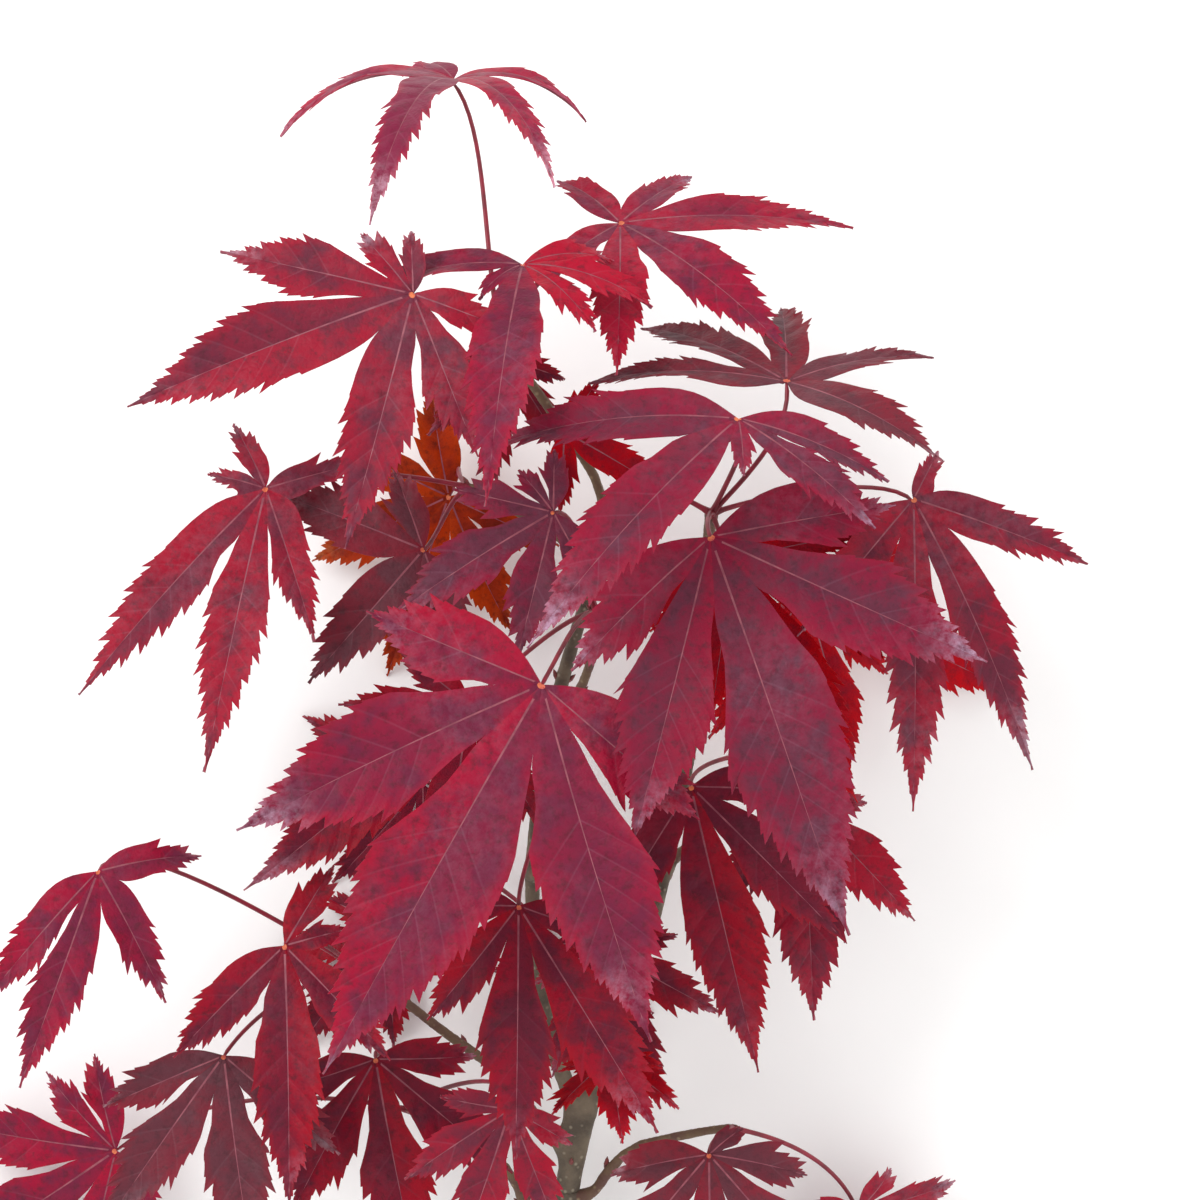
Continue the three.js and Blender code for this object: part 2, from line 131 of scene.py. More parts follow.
@dataclass(frozen=True)
class Leaf:
    """One leaf, with bearings in degrees anticlockwise from +X.

    Attributes:
        hub: where the lobes meet; with two numbers the leaf is let down until it rests on the ground.
        size: length of the middle lobe.
        heading: where that points before the blade is tilted.
        tilt: how far the blade is tilted, degrees.
        lean: bearing that it is tilted towards.
        droop: bend of a lobe over its length, degrees.
        breadth: half width of a lobe for its length.
        lobes: from right to left, the turn from the middle lobe and the share of its length.
        tint: its colour.
        lobe_shade_and_tone: lobes, numbered from the right, whose painted shade is set and not dealt,
            darker above 0 and lighter and vivid below 0 (below 0 is vivid); it stands partly for light
            and shade on those lobes and partly for their own tone.
    """

    hub: tuple[float, ...]
    size: float
    heading: float
    tilt: float
    lean: float
    droop: float
    breadth: float
    lobes: tuple[tuple[float, float], ...]
    tint: Tint
    lobe_shade_and_tone: tuple[tuple[int, float], ...] = ()


@dataclass(frozen=True)
class Spray:
    """The limb that a spray grows from, the node in which its stem ends, and its leaves."""

    limb: str
    node: Point
    leaves: tuple[Leaf, ...]


LIMBS = {
    "stem": Limb(((0, -12, 3.2), (0, 20, 3.2), (6, 46, 12), (10, 70, 18)), (2.9, 2.6)),
    "bough_left": Limb(
        ((3, 90, 23), (0, 120, 31), (5, 156, 40), (13, 184, 47)), (1.7, 1.3), "stem", side=-1
    ),
    "bough_right": Limb(
        ((22, 100, 26), (31, 140, 34), (35, 165, 44), (35.5, 186, 56)), (1.7, 1.3), "stem", side=1
    ),
    "twig_top": Limb(((14, 200, 52), (6, 213, 56), (-3, 226, 58)), (1, 0.9), "bough_left", side=1),
    "twig_left": Limb(((4, 192, 48), (-7, 198, 48)), (1, 0.9), "bough_left", side=-1),
    "twig_centre": Limb(((10, 160, 50), (13, 168, 58)), (1, 0.9), "bough_left", 0.72),
    "twig_right": Limb(((37, 136, 38), (43, 142, 40)), (1, 0.9), "bough_right", 0.45),
    "twig_lower": Limb(((2, 122, 44), (1, 128, 50)), (1, 0.9), "bough_left", 0.45),
    "twig_under": Limb(((-5, 110, 20), (-9, 118, 16)), (1, 0.9), "bough_left", 0.3),
    "twig_low_left": Limb(((-6, 78, 22), (-18, 88, 28), (-28, 96, 30)), (1.2, 0.9), "stem", 0.9),
    "twig_base_left": Limb(((-6, 58, 14), (-18, 66, 17)), (1, 0.9), "stem", 0.62),
    "twig_base_right": Limb(((20, 62, 18), (32, 66, 22)), (1.1, 0.9), "stem", 0.75),
}

# Lobes of the leaves that have them evenly round the hub.
FIVE_LOBES = ((-80, 0.45), (-40, 0.8), (0, 1), (40, 0.8), (80, 0.45))
SEVEN_LOBES = ((-118, 0.3), (-80, 0.6), (-40, 0.88), (0, 1), (40, 0.88), (80, 0.6), (118, 0.3))

SPRAYS = {
    "top": Spray("twig_top", (-6, 231, 59), (
        Leaf((-15, 281, 62), 46, 240, 68, 90, 75, 0.08,
             ((-125, 0.6), (-62, 0.85), (14, 1.2), (62, 0.95), (125, 0.65)), Tint.ROSE, ((2, 1.0),)),
        Leaf((18, 253, 58), 48, 315, 45, 90, 28, 0.13,
             ((-90, 0.5), (-45, 0.85), (0, 1), (50, 1), (95, 0.5), (170, 0.45)), Tint.CRIMSON,
             ((1, -0.8), (2, 0.1), (3, -0.4))),
        Leaf((-22, 237, 80), 60, 215, 15, 110, 15, 0.13,
             ((-122, 0.22), (-86, 0.28), (-49, 0.67), (-15, 1), (43, 0.86), (77, 0.58), (123, 0.3)),
             Tint.WINE),
        Leaf((-1, 243, 76), 46, 267, 50, 95, 50, 0.12,
             ((-85, 0.78), (-46, 0.26), (0, 1.35), (45, 0.5), (75, 0.6), (112, 0.42)), Tint.CRIMSON,
             ((2, 0.3), (3, -1.2), (4, -1.2), (5, -1.2))),
        Leaf((-5, 227, 43), 28, 262, 5, 90, 15, 0.14, FIVE_LOBES, Tint.CLARET),
    )),
    "left": Spray("twig_left", (-13, 201, 48), (
        Leaf((-52, 200, 64), 60, 258, 25, 80, 15, 0.1,
             ((-145, 0.27), (-95, 0.2), (-28, 0.93), (2, 1), (30, 0.56), (120, 0.32)), Tint.WINE),
        Leaf((-21, 188, 60), 35, 230, 10, 90, 10, 0.17,
             ((-120, 0.5), (-72, 0.95), (0, 1), (60, 0.7)), Tint.DUSK),
        Leaf((-18, 200), 43, 250, 12, 230, 25, 0.16,
             ((-150, 0.55), (-95, 0.5), (-45, 0.8), (0, 1), (42, 0.75), (85, 0.6)), Tint.EMBER),
    )),
    "centre": Spray("twig_centre", (13, 176, 64), (
        Leaf((5, 195, 78), 37, 225, 15, 90, 15, 0.16,
             ((-135, 0.35), (-97, 0.3), (-58, 0.55), (-13, 1), (32, 0.8), (72, 0.5)), Tint.PLUM),
        Leaf((3, 162, 92), 84, 240, 8, 60, 12, 0.155,
             ((-82, 0.43), (-36, 0.76), (0, 1), (45, 0.84), (79, 0.47)), Tint.CRIMSON, ((3, 0.6),)),
        Leaf((-12, 157, 58), 58, 221, 5, 0, 10, 0.12,
             ((-80, 0.3), (-40, 0.45), (0, 1), (40, 0.85), (80, 0.5)), Tint.CLARET),
    )),
    "crown": Spray("bough_right", (35.8, 195, 72), (
        Leaf((50, 220, 80), 46, 100, 58, 95, 25, 0.11,
             ((-140, 0.85), (-73, 0.7), (-10, 0.85), (32, 1), (62, 0.9)), Tint.DUSK),
        Leaf((40, 212, 98), 62, 230, 35, 90, 35, 0.115,
             ((-50, 0.8), (0, 1), (45, 0.2), (88, 0.55), (108, 0.5)), Tint.PLUM),
        Leaf((35, 190, 90), 80, 289, 12, 110, 18, 0.15,
             ((-67, 0.46), (-32, 0.75), (0, 1), (45, 0.72), (81, 0.45)), Tint.PLUM,
             ((2, 0.2), (4, -0.3))),
        Leaf((76, 198, 62), 64, 280, 25, 60, 18, 0.1,
             ((-50, 0.6), (-14, 1), (13, 0.92), (62, 0.6), (140, 0.2)), Tint.WINE),
        Leaf((7, 211, 68), 24, 328, 20, 90, 20, 0.15,
             ((-60, 0.7), (0, 1), (50, 0.7), (92, 0.55)), Tint.SCARLET_GLOW),
        Leaf((40, 186, 66), 54, 298, 4, 90, 15, 0.13,
             ((-75, 0.4), (-35, 0.6), (0, 1), (36, 0.8), (75, 0.5)), Tint.SCARLET_GLOW),
    )),
    "right": Spray("twig_right", (48, 146, 41), (
        Leaf((57, 180), 54, 300, 12, 320, 25, 0.13,
             ((-60, 0.7), (-12, 0.8), (15, 0.5), (34, 1), (80, 0.5)), Tint.SCARLET_GLOW),
        Leaf((32, 141, 60), 58, 283, 10, 90, 15, 0.13,
             ((-45, 0.6), (0, 1), (32, 0.75), (75, 0.5)), Tint.CLARET),
        Leaf((55, 137, 46), 44, 290, 10, 90, 15, 0.16,
             ((-60, 0.6), (-17, 1), (24, 0.75), (70, 0.3)), Tint.WINE, ((2, -0.8),)),
    )),
    "lower": Spray("twig_lower", (2, 133, 54), (
        Leaf((-2, 118, 68), 52, 275, 10, 90, 15, 0.15,
             ((-95, 0.25), (-42, 0.55), (-5, 0.95), (27, 1), (65, 0.5)), Tint.CLARET),
        Leaf((14, 107, 38), 36, 290, 0, 0, 15, 0.14, FIVE_LOBES, Tint.CLARET),
        Leaf((16, 86, 55), 24, 275, 60, 90, 20, 0.16, FIVE_LOBES, Tint.SCARLET_GLOW),
    )),
    "under": Spray("twig_under", (-14, 122, 15), (
        Leaf((-24, 139), 38, 190, 6, 10, 45, 0.14, FIVE_LOBES, Tint.CLARET),
        Leaf((4, 104), 34, 285, 6, 105, 45, 0.14, FIVE_LOBES, Tint.CLARET),
        Leaf((-32, 108), 34, 235, 6, 55, 45, 0.14, FIVE_LOBES, Tint.CLARET),
    )),
    "low_left": Spray("twig_low_left", (-36, 102, 33), (
        Leaf((-49, 109, 56), 52, 265, 10, 90, 10, 0.13,
             ((-41, 0.6), (8, 1), (50, 0.6), (110, 0.25), (155, 0.36)), Tint.CLARET),
        Leaf((-62, 86, 48), 44, 245, 10, 90, 10, 0.15,
             ((-42, 0.6), (-10, 0.95), (33, 1), (75, 0.7)), Tint.DUSK),
        Leaf((-86, 124, 58), 46, 252, 25, 60, 35, 0.12,
             ((-22, 0.75), (0, 1), (46, 0.65), (122, 0.48)), Tint.CRIMSON),
    )),
    "base_left": Spray("twig_base_left", (-26, 71, 20), (
        Leaf((-88, 62), 50, 215, 15, 215, 20, 0.15, ((-112, 0.42), *FIVE_LOBES), Tint.CRIMSON),
        Leaf((-32, 84, 38), 46, 280, 0, 0, 12, 0.16, FIVE_LOBES, Tint.CLARET),
        Leaf((-4, 76, 54), 32, 252, 5, 90, 20, 0.16, FIVE_LOBES, Tint.WINE),
    )),
    "base_right": Spray("twig_base_right", (42, 68, 26), (
        Leaf((36, 66, 48), 46, 270, 20, 90, 35, 0.17, (*FIVE_LOBES, (130, 0.2)), Tint.DUSK),
        Leaf((68, 50), 38, 290, 25, 300, 30, 0.17, SEVEN_LOBES, Tint.WINE),
    )),
}


def smoothstep(value: np.ndarray | float) -> np.ndarray:
    """Eases from 0 to 1 as the value goes from 0 to 1."""
    bounded = np.clip(value, 0.0, 1.0)
    return bounded * bounded * (3 - 2 * bounded)


def unit(vector: np.ndarray) -> np.ndarray:
    """The vector, or each row of it, at length 1."""
    return vector / np.linalg.norm(vector, axis=-1, keepdims=True)


def turn_about(axis: np.ndarray, degrees: float) -> np.ndarray:
    """The matrix that turns about an axis through the origin."""
    return np.array(Matrix.Rotation(math.radians(degrees), 3, Vector(axis)))


@dataclass
class Curve:
    """A smooth line in space, read by share of its length."""

    line: np.ndarray
    lengths: np.ndarray = field(init=False)

    def __post_init__(self) -> None:
        """Measures the line."""
        steps = np.linalg.norm(np.diff(self.line, axis=0), axis=1)
        self.lengths = np.concatenate(([0.0], np.cumsum(steps)))

    @property
    def length(self) -> float:
        """The whole length."""
        return float(self.lengths[-1])

    def at(self, share: np.ndarray | float) -> np.ndarray:
        """The point, or points, at a share of the length."""
        target = np.asarray(share) * self.length
        return np.stack([np.interp(target, self.lengths, self.line[:, k]) for k in range(3)], -1)

    def tangent(self, share: np.ndarray | float, step: float = 0.01) -> np.ndarray:
        """The direction, or directions, in which the line runs at a share of its length."""
        here = np.asarray(share)
        return unit(self.at(np.minimum(here + step, 1.0)) - self.at(np.maximum(here - step, 0.0)))


def bezier(points: Sequence[Sequence[float]], samples: int = 80) -> Curve:
    """A Bezier curve of any degree.

    Args:
        points: its end points and the handles between them.
        samples: how many points the line gets.

    Returns:
        The curve.
    """
    share = np.linspace(0, 1, samples)[:, None, None]
    layer = np.repeat(np.asarray(points, float)[None], samples, axis=0)
    while layer.shape[1] > 1:
        layer = layer[:, :-1] * (1 - share) + layer[:, 1:] * share
    return Curve(layer[:, 0])


def centripetal(points: Sequence[Sequence[float]], samples: int = 24) -> Curve:
    """A smooth curve through all its points, with no loops or cusps.

    Args:
        points: the points that it passes.
        samples: how many points the line gets between two of them.

    Returns:
        The curve.
    """
    through = np.asarray(points, float)
    ends = (2 * through[:1] - through[1:2], 2 * through[-1:] - through[-2:-1])
    knots = np.concatenate((ends[0], through, ends[1]))
    share = np.linspace(0, 1, samples)[:, None]
    pieces = []
    for a, b, c, d in zip(knots, knots[1:], knots[2:], knots[3:]):
        first, middle, last = (math.sqrt(np.linalg.norm(q - p)) for p, q in ((a, b), (b, c), (c, d)))
        leave = middle * ((b - a) / first - (c - a) / (first + middle) + (c - b) / middle)
        arrive = middle * ((c - b) / middle - (d - b) / (middle + last) + (d - c) / last)
        square = 3 * (c - b) - 2 * leave - arrive
        cube = 2 * (b - c) + leave + arrive
        pieces.append(b + share * (leave + share * (square + share * cube)))
    return Curve(np.concatenate([pieces[0], *(piece[1:] for piece in pieces[1:])]))


def limb_start(limb: Limb, parent: Limb, curve: Curve) -> np.ndarray:
    """Where a limb starts, just clear of its parent's side or tip.

    Args:
        limb: the limb that leaves.
        parent: the limb that it leaves.
        curve: the parent's curve.

    Returns:
        The limb's first point.
    """
    start = curve.at(limb.at)
    along = curve.tangent(limb.at)
    radius = limb.radii[0]
    if limb.at == 1:
        aside = unit(np.cross(along, UP)) * limb.side
        return start + along * (GAP + FORK_LIFT * radius) + aside * (radius + FORK_SPREAD)
    heading = unit(np.array(limb.points[0]) - start)
    outward = unit(heading - along * (heading @ along))
    slant = math.sqrt(max(0.0, 1 - (heading @ outward) ** 2))
    return start + outward * (parent.radius(limb.at) + GAP + SIDE_CLEARANCE + radius * slant)


def grow_limbs() -> dict[str, Curve]:
    """Grows the limbs, parents first.

    Returns:
        Every limb's curve by name.
    """
    grown: dict[str, Curve] = {}
    for name, limb in LIMBS.items():
        if limb.parent:
            start = limb_start(limb, LIMBS[limb.parent], grown[limb.parent])
            grown[name] = centripetal([start, *limb.points])
        else:
            grown[name] = bezier(limb.points)
    return grown


def shoot_of(spray: Spray, curve: Curve) -> Curve:
    """The stem of a spray, from its limb's tip to its node.

    Args:
        spray: the spray.
        curve: its limb's curve.

    Returns:
        The stem's curve.
    """
    growth = curve.tangent(1.0)
    root = curve.at(1.0) + growth * GAP
    tip = np.array(spray.node, float)
    knee = root + growth * SPRAY_STEM_KNEE * np.linalg.norm(tip - root)
    return bezier([root, knee, tip])


def frame_offset() -> np.ndarray:
    """Where growth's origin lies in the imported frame, read from the stem's cut face.

    Returns:
        The place in metres.
    """
    corners = np.unique(np.round([v.co for v in frame["nodes"]["stem"].data.vertices], 6), axis=0)
    rim = corners[corners[:, 1] < corners[:, 1].min() + SAME_PLANE]
    return rim.mean(axis=0) - np.array(LIMBS["stem"].points[0]) * MM


# ---------------------------------------------------------------- finishes


def linear(code: str) -> tuple[float, float, float, float]:
    """A hex colour as the linear numbers that a shader takes."""
    values = [int(code[i:i + 2], 16) / 255 for i in (0, 2, 4)]
    return (*(v / 12.92 if v <= 0.04045 else ((v + 0.055) / 1.055) ** 2.4 for v in values), 1.0)


class Bench:
    """A material's node tree, with short ways to add and link nodes."""

    def __init__(self, name: str) -> None:
        """Starts a material with one shader.

        Args:
            name: the material's name.
        """
        self.material = bpy.data.materials.new(name)
        self.material.use_nodes = True
        self.tree = self.material.node_tree
        self.shader = self.tree.nodes["Principled BSDF"]

    def add(self, kind: str, **settings: object) -> bpy.types.Node:
        """Adds a node.

        Args:
            kind: the node's type, without its ShaderNode prefix.
            settings: properties to set. A name that is an input's sets that input's value or,
                given a socket, links it.

        Returns:
            The node.
        """
        node = self.tree.nodes.new(f"ShaderNode{kind}")
        for name, value in settings.items():
            if hasattr(node, name) and name not in node.inputs:
                setattr(node, name, value)
            else:
                self.feed(node.inputs[name], value)
        return node

    def feed(self, socket: bpy.types.NodeSocket, value: object) -> None:
        """Fills an input.

        Args:
            socket: the input.
            value: another node's output to link, or a plain value to set.
        """
        if isinstance(value, bpy.types.NodeSocket):
            self.tree.links.new(value, socket)
        else:
            socket.default_value = value

    def place(self) -> bpy.types.NodeSocket:
        """The piece's own coordinates in metres."""
        return self.add("TexCoord").outputs["Object"]

    def noise(self, scale: float, detail: float = 3.0, roughness: float = 0.5) -> bpy.types.NodeSocket:
        """Soft noise between 0 and 1 with that many features per metre."""
        return self.add("TexNoise", Vector=self.place(), Scale=scale, Detail=detail,
                        Roughness=roughness).outputs["Fac"]

    def cells(self, scale: float, feature: str = "DISTANCE_TO_EDGE") -> bpy.types.NodeSocket:
        """Distance in a cell pattern with that many cells per metre."""
        found = self.add("TexVoronoi", feature=feature, Vector=self.place(), Scale=scale)
        return found.outputs["Distance"]

    def mark(self, name: str) -> bpy.types.NodeSocket:
        """A value that the mesh carries under that name."""
        return self.add("Attribute", attribute_name=name).outputs["Fac"]

    def span(self, value: bpy.types.NodeSocket, low: float, high: float,
             to_low: float = 0.0, to_high: float = 1.0) -> bpy.types.NodeSocket:
        """Stretches a value's range and holds the ends.

        Args:
            value: the value.
            low: what becomes to_low.
            high: what becomes to_high.
            to_low: the new value at low.
            to_high: the new value at high.

        Returns:
            The new value.
        """
        found = self.add("MapRange")
        for socket, number in zip(found.inputs, (value, low, high, to_low, to_high)):
            self.feed(socket, number)
        return found.outputs["Result"]

    def product(self, a: bpy.types.NodeSocket, b: bpy.types.NodeSocket | float
                ) -> bpy.types.NodeSocket:
        """Multiplies two values.

        Args:
            a: one value.
            b: the other.

        Returns:
            Their product.
        """
        found = self.add("Math", operation="MULTIPLY")
        self.feed(found.inputs[0], a)
        self.feed(found.inputs[1], b)
        return found.outputs[0]

    def blend(self, share: bpy.types.NodeSocket | float, a: object, b: object
              ) -> bpy.types.NodeSocket:
        """Turns one colour into another.

        Args:
            share: how much of b there is, from 0 to 1.
            a: the colour at 0.
            b: the colour at 1.

        Returns:
            The mixed colour.
        """
        found = self.add("Mix", data_type="RGBA")
        self.feed(found.inputs["Factor"], share)
        self.feed(found.inputs[6], a)
        self.feed(found.inputs[7], b)
        return found.outputs[2]

    def bump(self, height: bpy.types.NodeSocket, depth: float, strength: float = 1.0,
             over: bpy.types.NodeSocket | None = None) -> bpy.types.NodeSocket:
        """Raises a light relief.

        Args:
            height: the relief's height, from 0 to 1.
            depth: what 1 stands for, in metres.
            strength: how much of it shows.
            over: the normal of a relief that it lies on.

        Returns:
            The normal.
        """
        found = self.add("Bump", Height=height, Distance=depth, Strength=strength)
        if over:
            self.feed(found.inputs["Normal"], over)
        return found.outputs["Normal"]

    def finish(self, **settings: object) -> bpy.types.Material:
        """Ends the material.

        Args:
            settings: the shader's inputs by name, with underscores for spaces.

        Returns:
            The material.
        """
        for name, value in settings.items():
            self.feed(self.shader.inputs[name.replace("_", " ")], value)
        return self.material


@dataclass(frozen=True)
class LeafFinish:
    """One tint of living leaf: satin upper side, dull underside."""

    name: str
    flesh: str
    mottle: str
    shade: str
    # brighter red of the lobes' edges, and of flanks painted as lit
    vivid: str
    # pale greyish colour of the bloom towards the tips, partly a painted sheen; the veins are
    # lightened towards it too
    bloom: str
    under: str
    sheen: float = 0.12

    def upper(self) -> bpy.types.Material:
        """The upper side: mottled flesh, faint veins, painted light and shade on the lobes' flanks,
        and a greyish bloom towards some tips that is partly a painted sheen.

        Returns:
            The material.
        """
        bench = Bench(f"leaf_{self.name}")
        # Painted shade and light: each flank of a lobe is darkened towards the mottle or, below 0,
        # lightened towards the vivid red, as if one half of a folded lobe were lit and the other
        # shaded; the mark's slope across the lobe is the real duller tone along the midrib.
        dull = bench.mark("PaintedShadeAndTone")
        blotch = bench.span(bench.noise(130, 5, 0.6), 0.44, 0.6)
        colour = bench.blend(blotch, linear(self.flesh), linear(self.mottle))
        colour = bench.blend(dull, colour, linear(self.mottle))
        colour = bench.blend(bench.span(dull, 0.0, -1.2), colour, linear(self.vivid))
        speckle = bench.span(bench.noise(560, 5, 0.7), 0.5, 0.68, 0.0, 0.65)
        colour = bench.blend(speckle, colour, linear(self.shade))
        colour = bench.blend(bench.product(bench.mark("Edge"), 0.45), colour, linear(self.vivid))
        # Pale greyish patches towards the tips: partly bloom, partly a painted sheen.
        bloom_and_sheen = bench.span(bench.noise(460, 6, 0.72), 0.38, 0.66)
        bloom_and_sheen_patches = bench.span(bench.noise(38, 2), 0.46, 0.62, 0.12, 1.0)
        bloom_and_sheen = bench.product(bench.mark("BloomAndSheen"), bench.product(bloom_and_sheen, bloom_and_sheen_patches))
        colour = bench.blend(bloom_and_sheen, colour, linear(self.bloom))
        colour = bench.blend(bench.product(bench.mark("Vein"), 0.05), colour, linear(self.bloom))
        net = bench.bump(bench.span(bench.cells(800), 0.0, 0.25), 0.00007, 0.5)
        return bench.finish(
            Base_Color=colour,
            Roughness=bench.span(bench.noise(300, 3), 0.3, 0.7, 0.42, 0.6),
            Specular_IOR_Level=self.sheen,
            Normal=bench.bump(bench.noise(420, 3), 0.00025, 0.45, net),
        )

    def lower(self) -> bpy.types.Material:
        """The underside: paler, duller, with a raised net of veins.

        Returns:
            The material.
        """
        bench = Bench(f"leaf_{self.name}_under")
        mottled = bench.blend(
            bench.span(bench.noise(150, 3), 0.35, 0.65), linear(self.under), linear(self.flesh)
        )
        net = bench.span(bench.cells(700), 0.0, 0.18, 1.0, 0.0)
        return bench.finish(
            Base_Color=bench.blend(bench.product(net, 0.08), mottled, linear(self.bloom)),
            Roughness=bench.span(bench.noise(500, 2), 0.3, 0.7, 0.55, 0.7),
            Specular_IOR_Level=0.15,
            Normal=bench.bump(net, 0.0001, 0.6),
        )


@dataclass(frozen=True)
class PlainFinish:
    """A small part's finish: two near colours and a light relief."""

    name: str
    light: str
    dark: str
    grain: float
    roughness: float
    depth: float = 0.00008

    def material(self) -> bpy.types.Material:
        """Mixes the finish.

        Returns:
            The material.
        """
        bench = Bench(self.name)
        pattern = bench.noise(self.grain, 3)
        return bench.finish(
            Base_Color=bench.blend(
                bench.span(pattern, 0.35, 0.65), linear(self.light), linear(self.dark)
            ),
            Roughness=bench.span(pattern, 0.2, 0.8, self.roughness - 0.06, self.roughness + 0.08),
            Normal=bench.bump(pattern, self.depth, 0.6),
        )


@dataclass(frozen=True)
class BarkFinish:
    """Thin smooth bark with fine ridges and small pale breathing pores."""

    name: str
    light: str
    dark: str
    pore: str

    def material(self) -> bpy.types.Material:
        """Mixes the finish.

        Returns:
            The material.
        """
        bench = Bench(self.name)
        tone = bench.blend(
            bench.span(bench.noise(220, 4), 0.35, 0.65), linear(self.light), linear(self.dark)
        )
        pores = bench.span(bench.cells(520, "F1"), 0.1, 0.26, 1.0, 0.0)
        fine = bench.noise(2600, 3)
        relief = bench.bump(fine, 0.00012, 0.7)
        relief = bench.bump(pores, 0.00015, 0.6, relief)
        return bench.finish(
            Base_Color=bench.blend(bench.product(pores, 0.55), tone, linear(self.pore)),
            Roughness=bench.span(fine, 0.3, 0.7, 0.6, 0.82),
            Normal=relief,
        )


LEAF_FINISHES = {
    Tint.CRIMSON: LeafFinish("crimson", "8c082c", "641a34", "4c1824", "a00626", "c4a6bc", "7d2c48"),
    Tint.WINE: LeafFinish("wine", "88122a", "602032", "481e28", "9e0824", "c4a8b8", "803248"),
    Tint.PLUM: LeafFinish("plum", "76102e", "5a2436", "461e2a", "900a2a", "bc9cb4", "74304a"),
    Tint.DUSK: LeafFinish("dusk", "6c1f2d", "582a34", "442229", "841426", "b49ca6", "7a4450"),
    # Painted light: the rose finish's pale pink underside stands partly for light falling on the top
    # leaf's lobe that shows its underside, partly for its own paler tone.
    Tint.ROSE: LeafFinish("rose", "960f32", "741a38", "581e2c", "ac1030", "d8b0c2", "c4607c"),
    # Painted glow: this finish stands in for light shining through the leaves from behind.
    Tint.SCARLET_GLOW: LeafFinish(
        "scarlet_glow", "a40010", "84081c", "60101c", "b80008", "b04a5c", "a0101f", 0.06
    ),
    Tint.EMBER: LeafFinish("ember", "9c2a04", "741c10", "50180e", "b03802", "b87850", "a04020", 0.06),
    Tint.CLARET: LeafFinish("claret", "820520", "5a1428", "40141e", "980416", "a07486", "742038"),
}
RIB = PlainFinish("leaf_rib", "8c4450", "70283a", 400, 0.55)
HUB = PlainFinish("leaf_hub", "d07040", "b04038", 900, 0.5)
STALK = PlainFinish("leaf_stalk", "8c0c2a", "6c1022", 300, 0.45)
BUD = PlainFinish("bud_scales", "8c3a38", "5a2c2a", 1500, 0.5)
CUT_WOOD = PlainFinish("cut_wood", "d8c49a", "b89a6c", 1200, 0.75)
OLD_BARK = BarkFinish("old_bark", "6f6250", "4e4438", "a39a84")
YOUNG_BARK = BarkFinish("young_bark", "6e5a40", "5c3c34", "9c8a68")


class Palette:
    """The leaf and stalk finishes, mixed once for all the sprays."""

    def __init__(self) -> None:
        """Mixes them."""
        self.tints = {tint: (finish.upper(), finish.lower()) for tint, finish in LEAF_FINISHES.items()}
        self.details = [RIB.material(), HUB.material()]
        self.stalk = STALK.material()


# ---------------------------------------------------------------- meshes


@dataclass
class Body:
    """A closed body of triangles, with a finish number for each and marks on its corners."""

    corners: np.ndarray
    faces: np.ndarray
    finishes: np.ndarray
    marks: dict[str, np.ndarray] = field(default_factory=dict)
    layout: np.ndarray | None = None


@dataclass
class Heap:
    """Many small bodies that become one joined mesh."""

    bodies: list[Body] = field(default_factory=list)

    def piece(self, name: str, materials: Sequence[bpy.types.Material],
              offset: np.ndarray) -> bpy.types.Object:
        """Makes the joined mesh.

        Args:
            name: the piece's name.
            materials: finishes in the order of their numbers.
            offset: growth's origin in metres.

        Returns:
            The object, at the origin.
        """
        counts = np.cumsum([0, *(len(body.corners) for body in self.bodies)])
        corners = np.concatenate([body.corners for body in self.bodies]) * MM + offset
        faces = np.concatenate([body.faces + first for body, first in zip(self.bodies, counts)])
        mesh = bpy.data.meshes.new(name)
        mesh.from_pydata(corners.tolist(), [], faces.tolist())
        finishes = np.concatenate([body.finishes for body in self.bodies])
        mesh.polygons.foreach_set("material_index", finishes.astype(np.int32))
        for material in materials:
            mesh.materials.append(material)
        for mark in self.bodies[0].marks:
            layer = mesh.attributes.new(mark, "FLOAT", "POINT")
            values = np.concatenate([body.marks[mark] for body in self.bodies])
            layer.data.foreach_set("value", values.astype(np.float32))
        if self.bodies[0].layout is not None:
            flat = mesh.uv_layers.new(name="OFBake")
            places = np.concatenate([body.layout for body in self.bodies])
            flat.data.foreach_set("uv", places.astype(np.float32).ravel())
        mesh.update()
        piece = bpy.data.objects.new(name, mesh)
        bpy.context.collection.objects.link(piece)
        pick_only(piece)
        bpy.ops.object.shade_smooth_by_angle(angle=math.radians(CREASE))
        return piece


def pick_only(piece: bpy.types.Object) -> None:
    """Leaves one object selected and active.

    Args:
        piece: the object.
    """
    bpy.ops.object.select_all(action="DESELECT")
    piece.select_set(True)
    bpy.context.view_layer.objects.active = piece


def settle(piece: bpy.types.Object, nodes: Sequence[str]) -> bpy.types.Object:
    """Hands a piece to the frame.

    Args:
        piece: the finished object.
        nodes: the nodes that it stands for.

    Returns:
        The object.
    """
    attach(piece, "root")
    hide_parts(*nodes)
    LOG.info("%s: %d faces for %s", piece.name, len(piece.data.polygons), ", ".join(nodes))
    return piece


def grid_triangles(rows: int, columns: int, closed: bool = False) -> np.ndarray:
    """Triangles of a grid of corners, anticlockwise where columns run to the left of rows.

    Args:
        rows: rows of corners.
        columns: corners in a row.
        closed: whether the last column joins the first.

    Returns:
        Three corner numbers for each triangle.
    """
    row, column = np.meshgrid(np.arange(rows - 1), np.arange(columns - (not closed)), indexing="ij")
    beside = (column + 1) % columns
    a, b = row * columns + column, row * columns + beside
    c, d = b + columns, a + columns
    pairs = np.stack((np.stack((a, d, c), -1), np.stack((a, c, b), -1)), axis=2)
    return pairs.reshape(-1, 3)


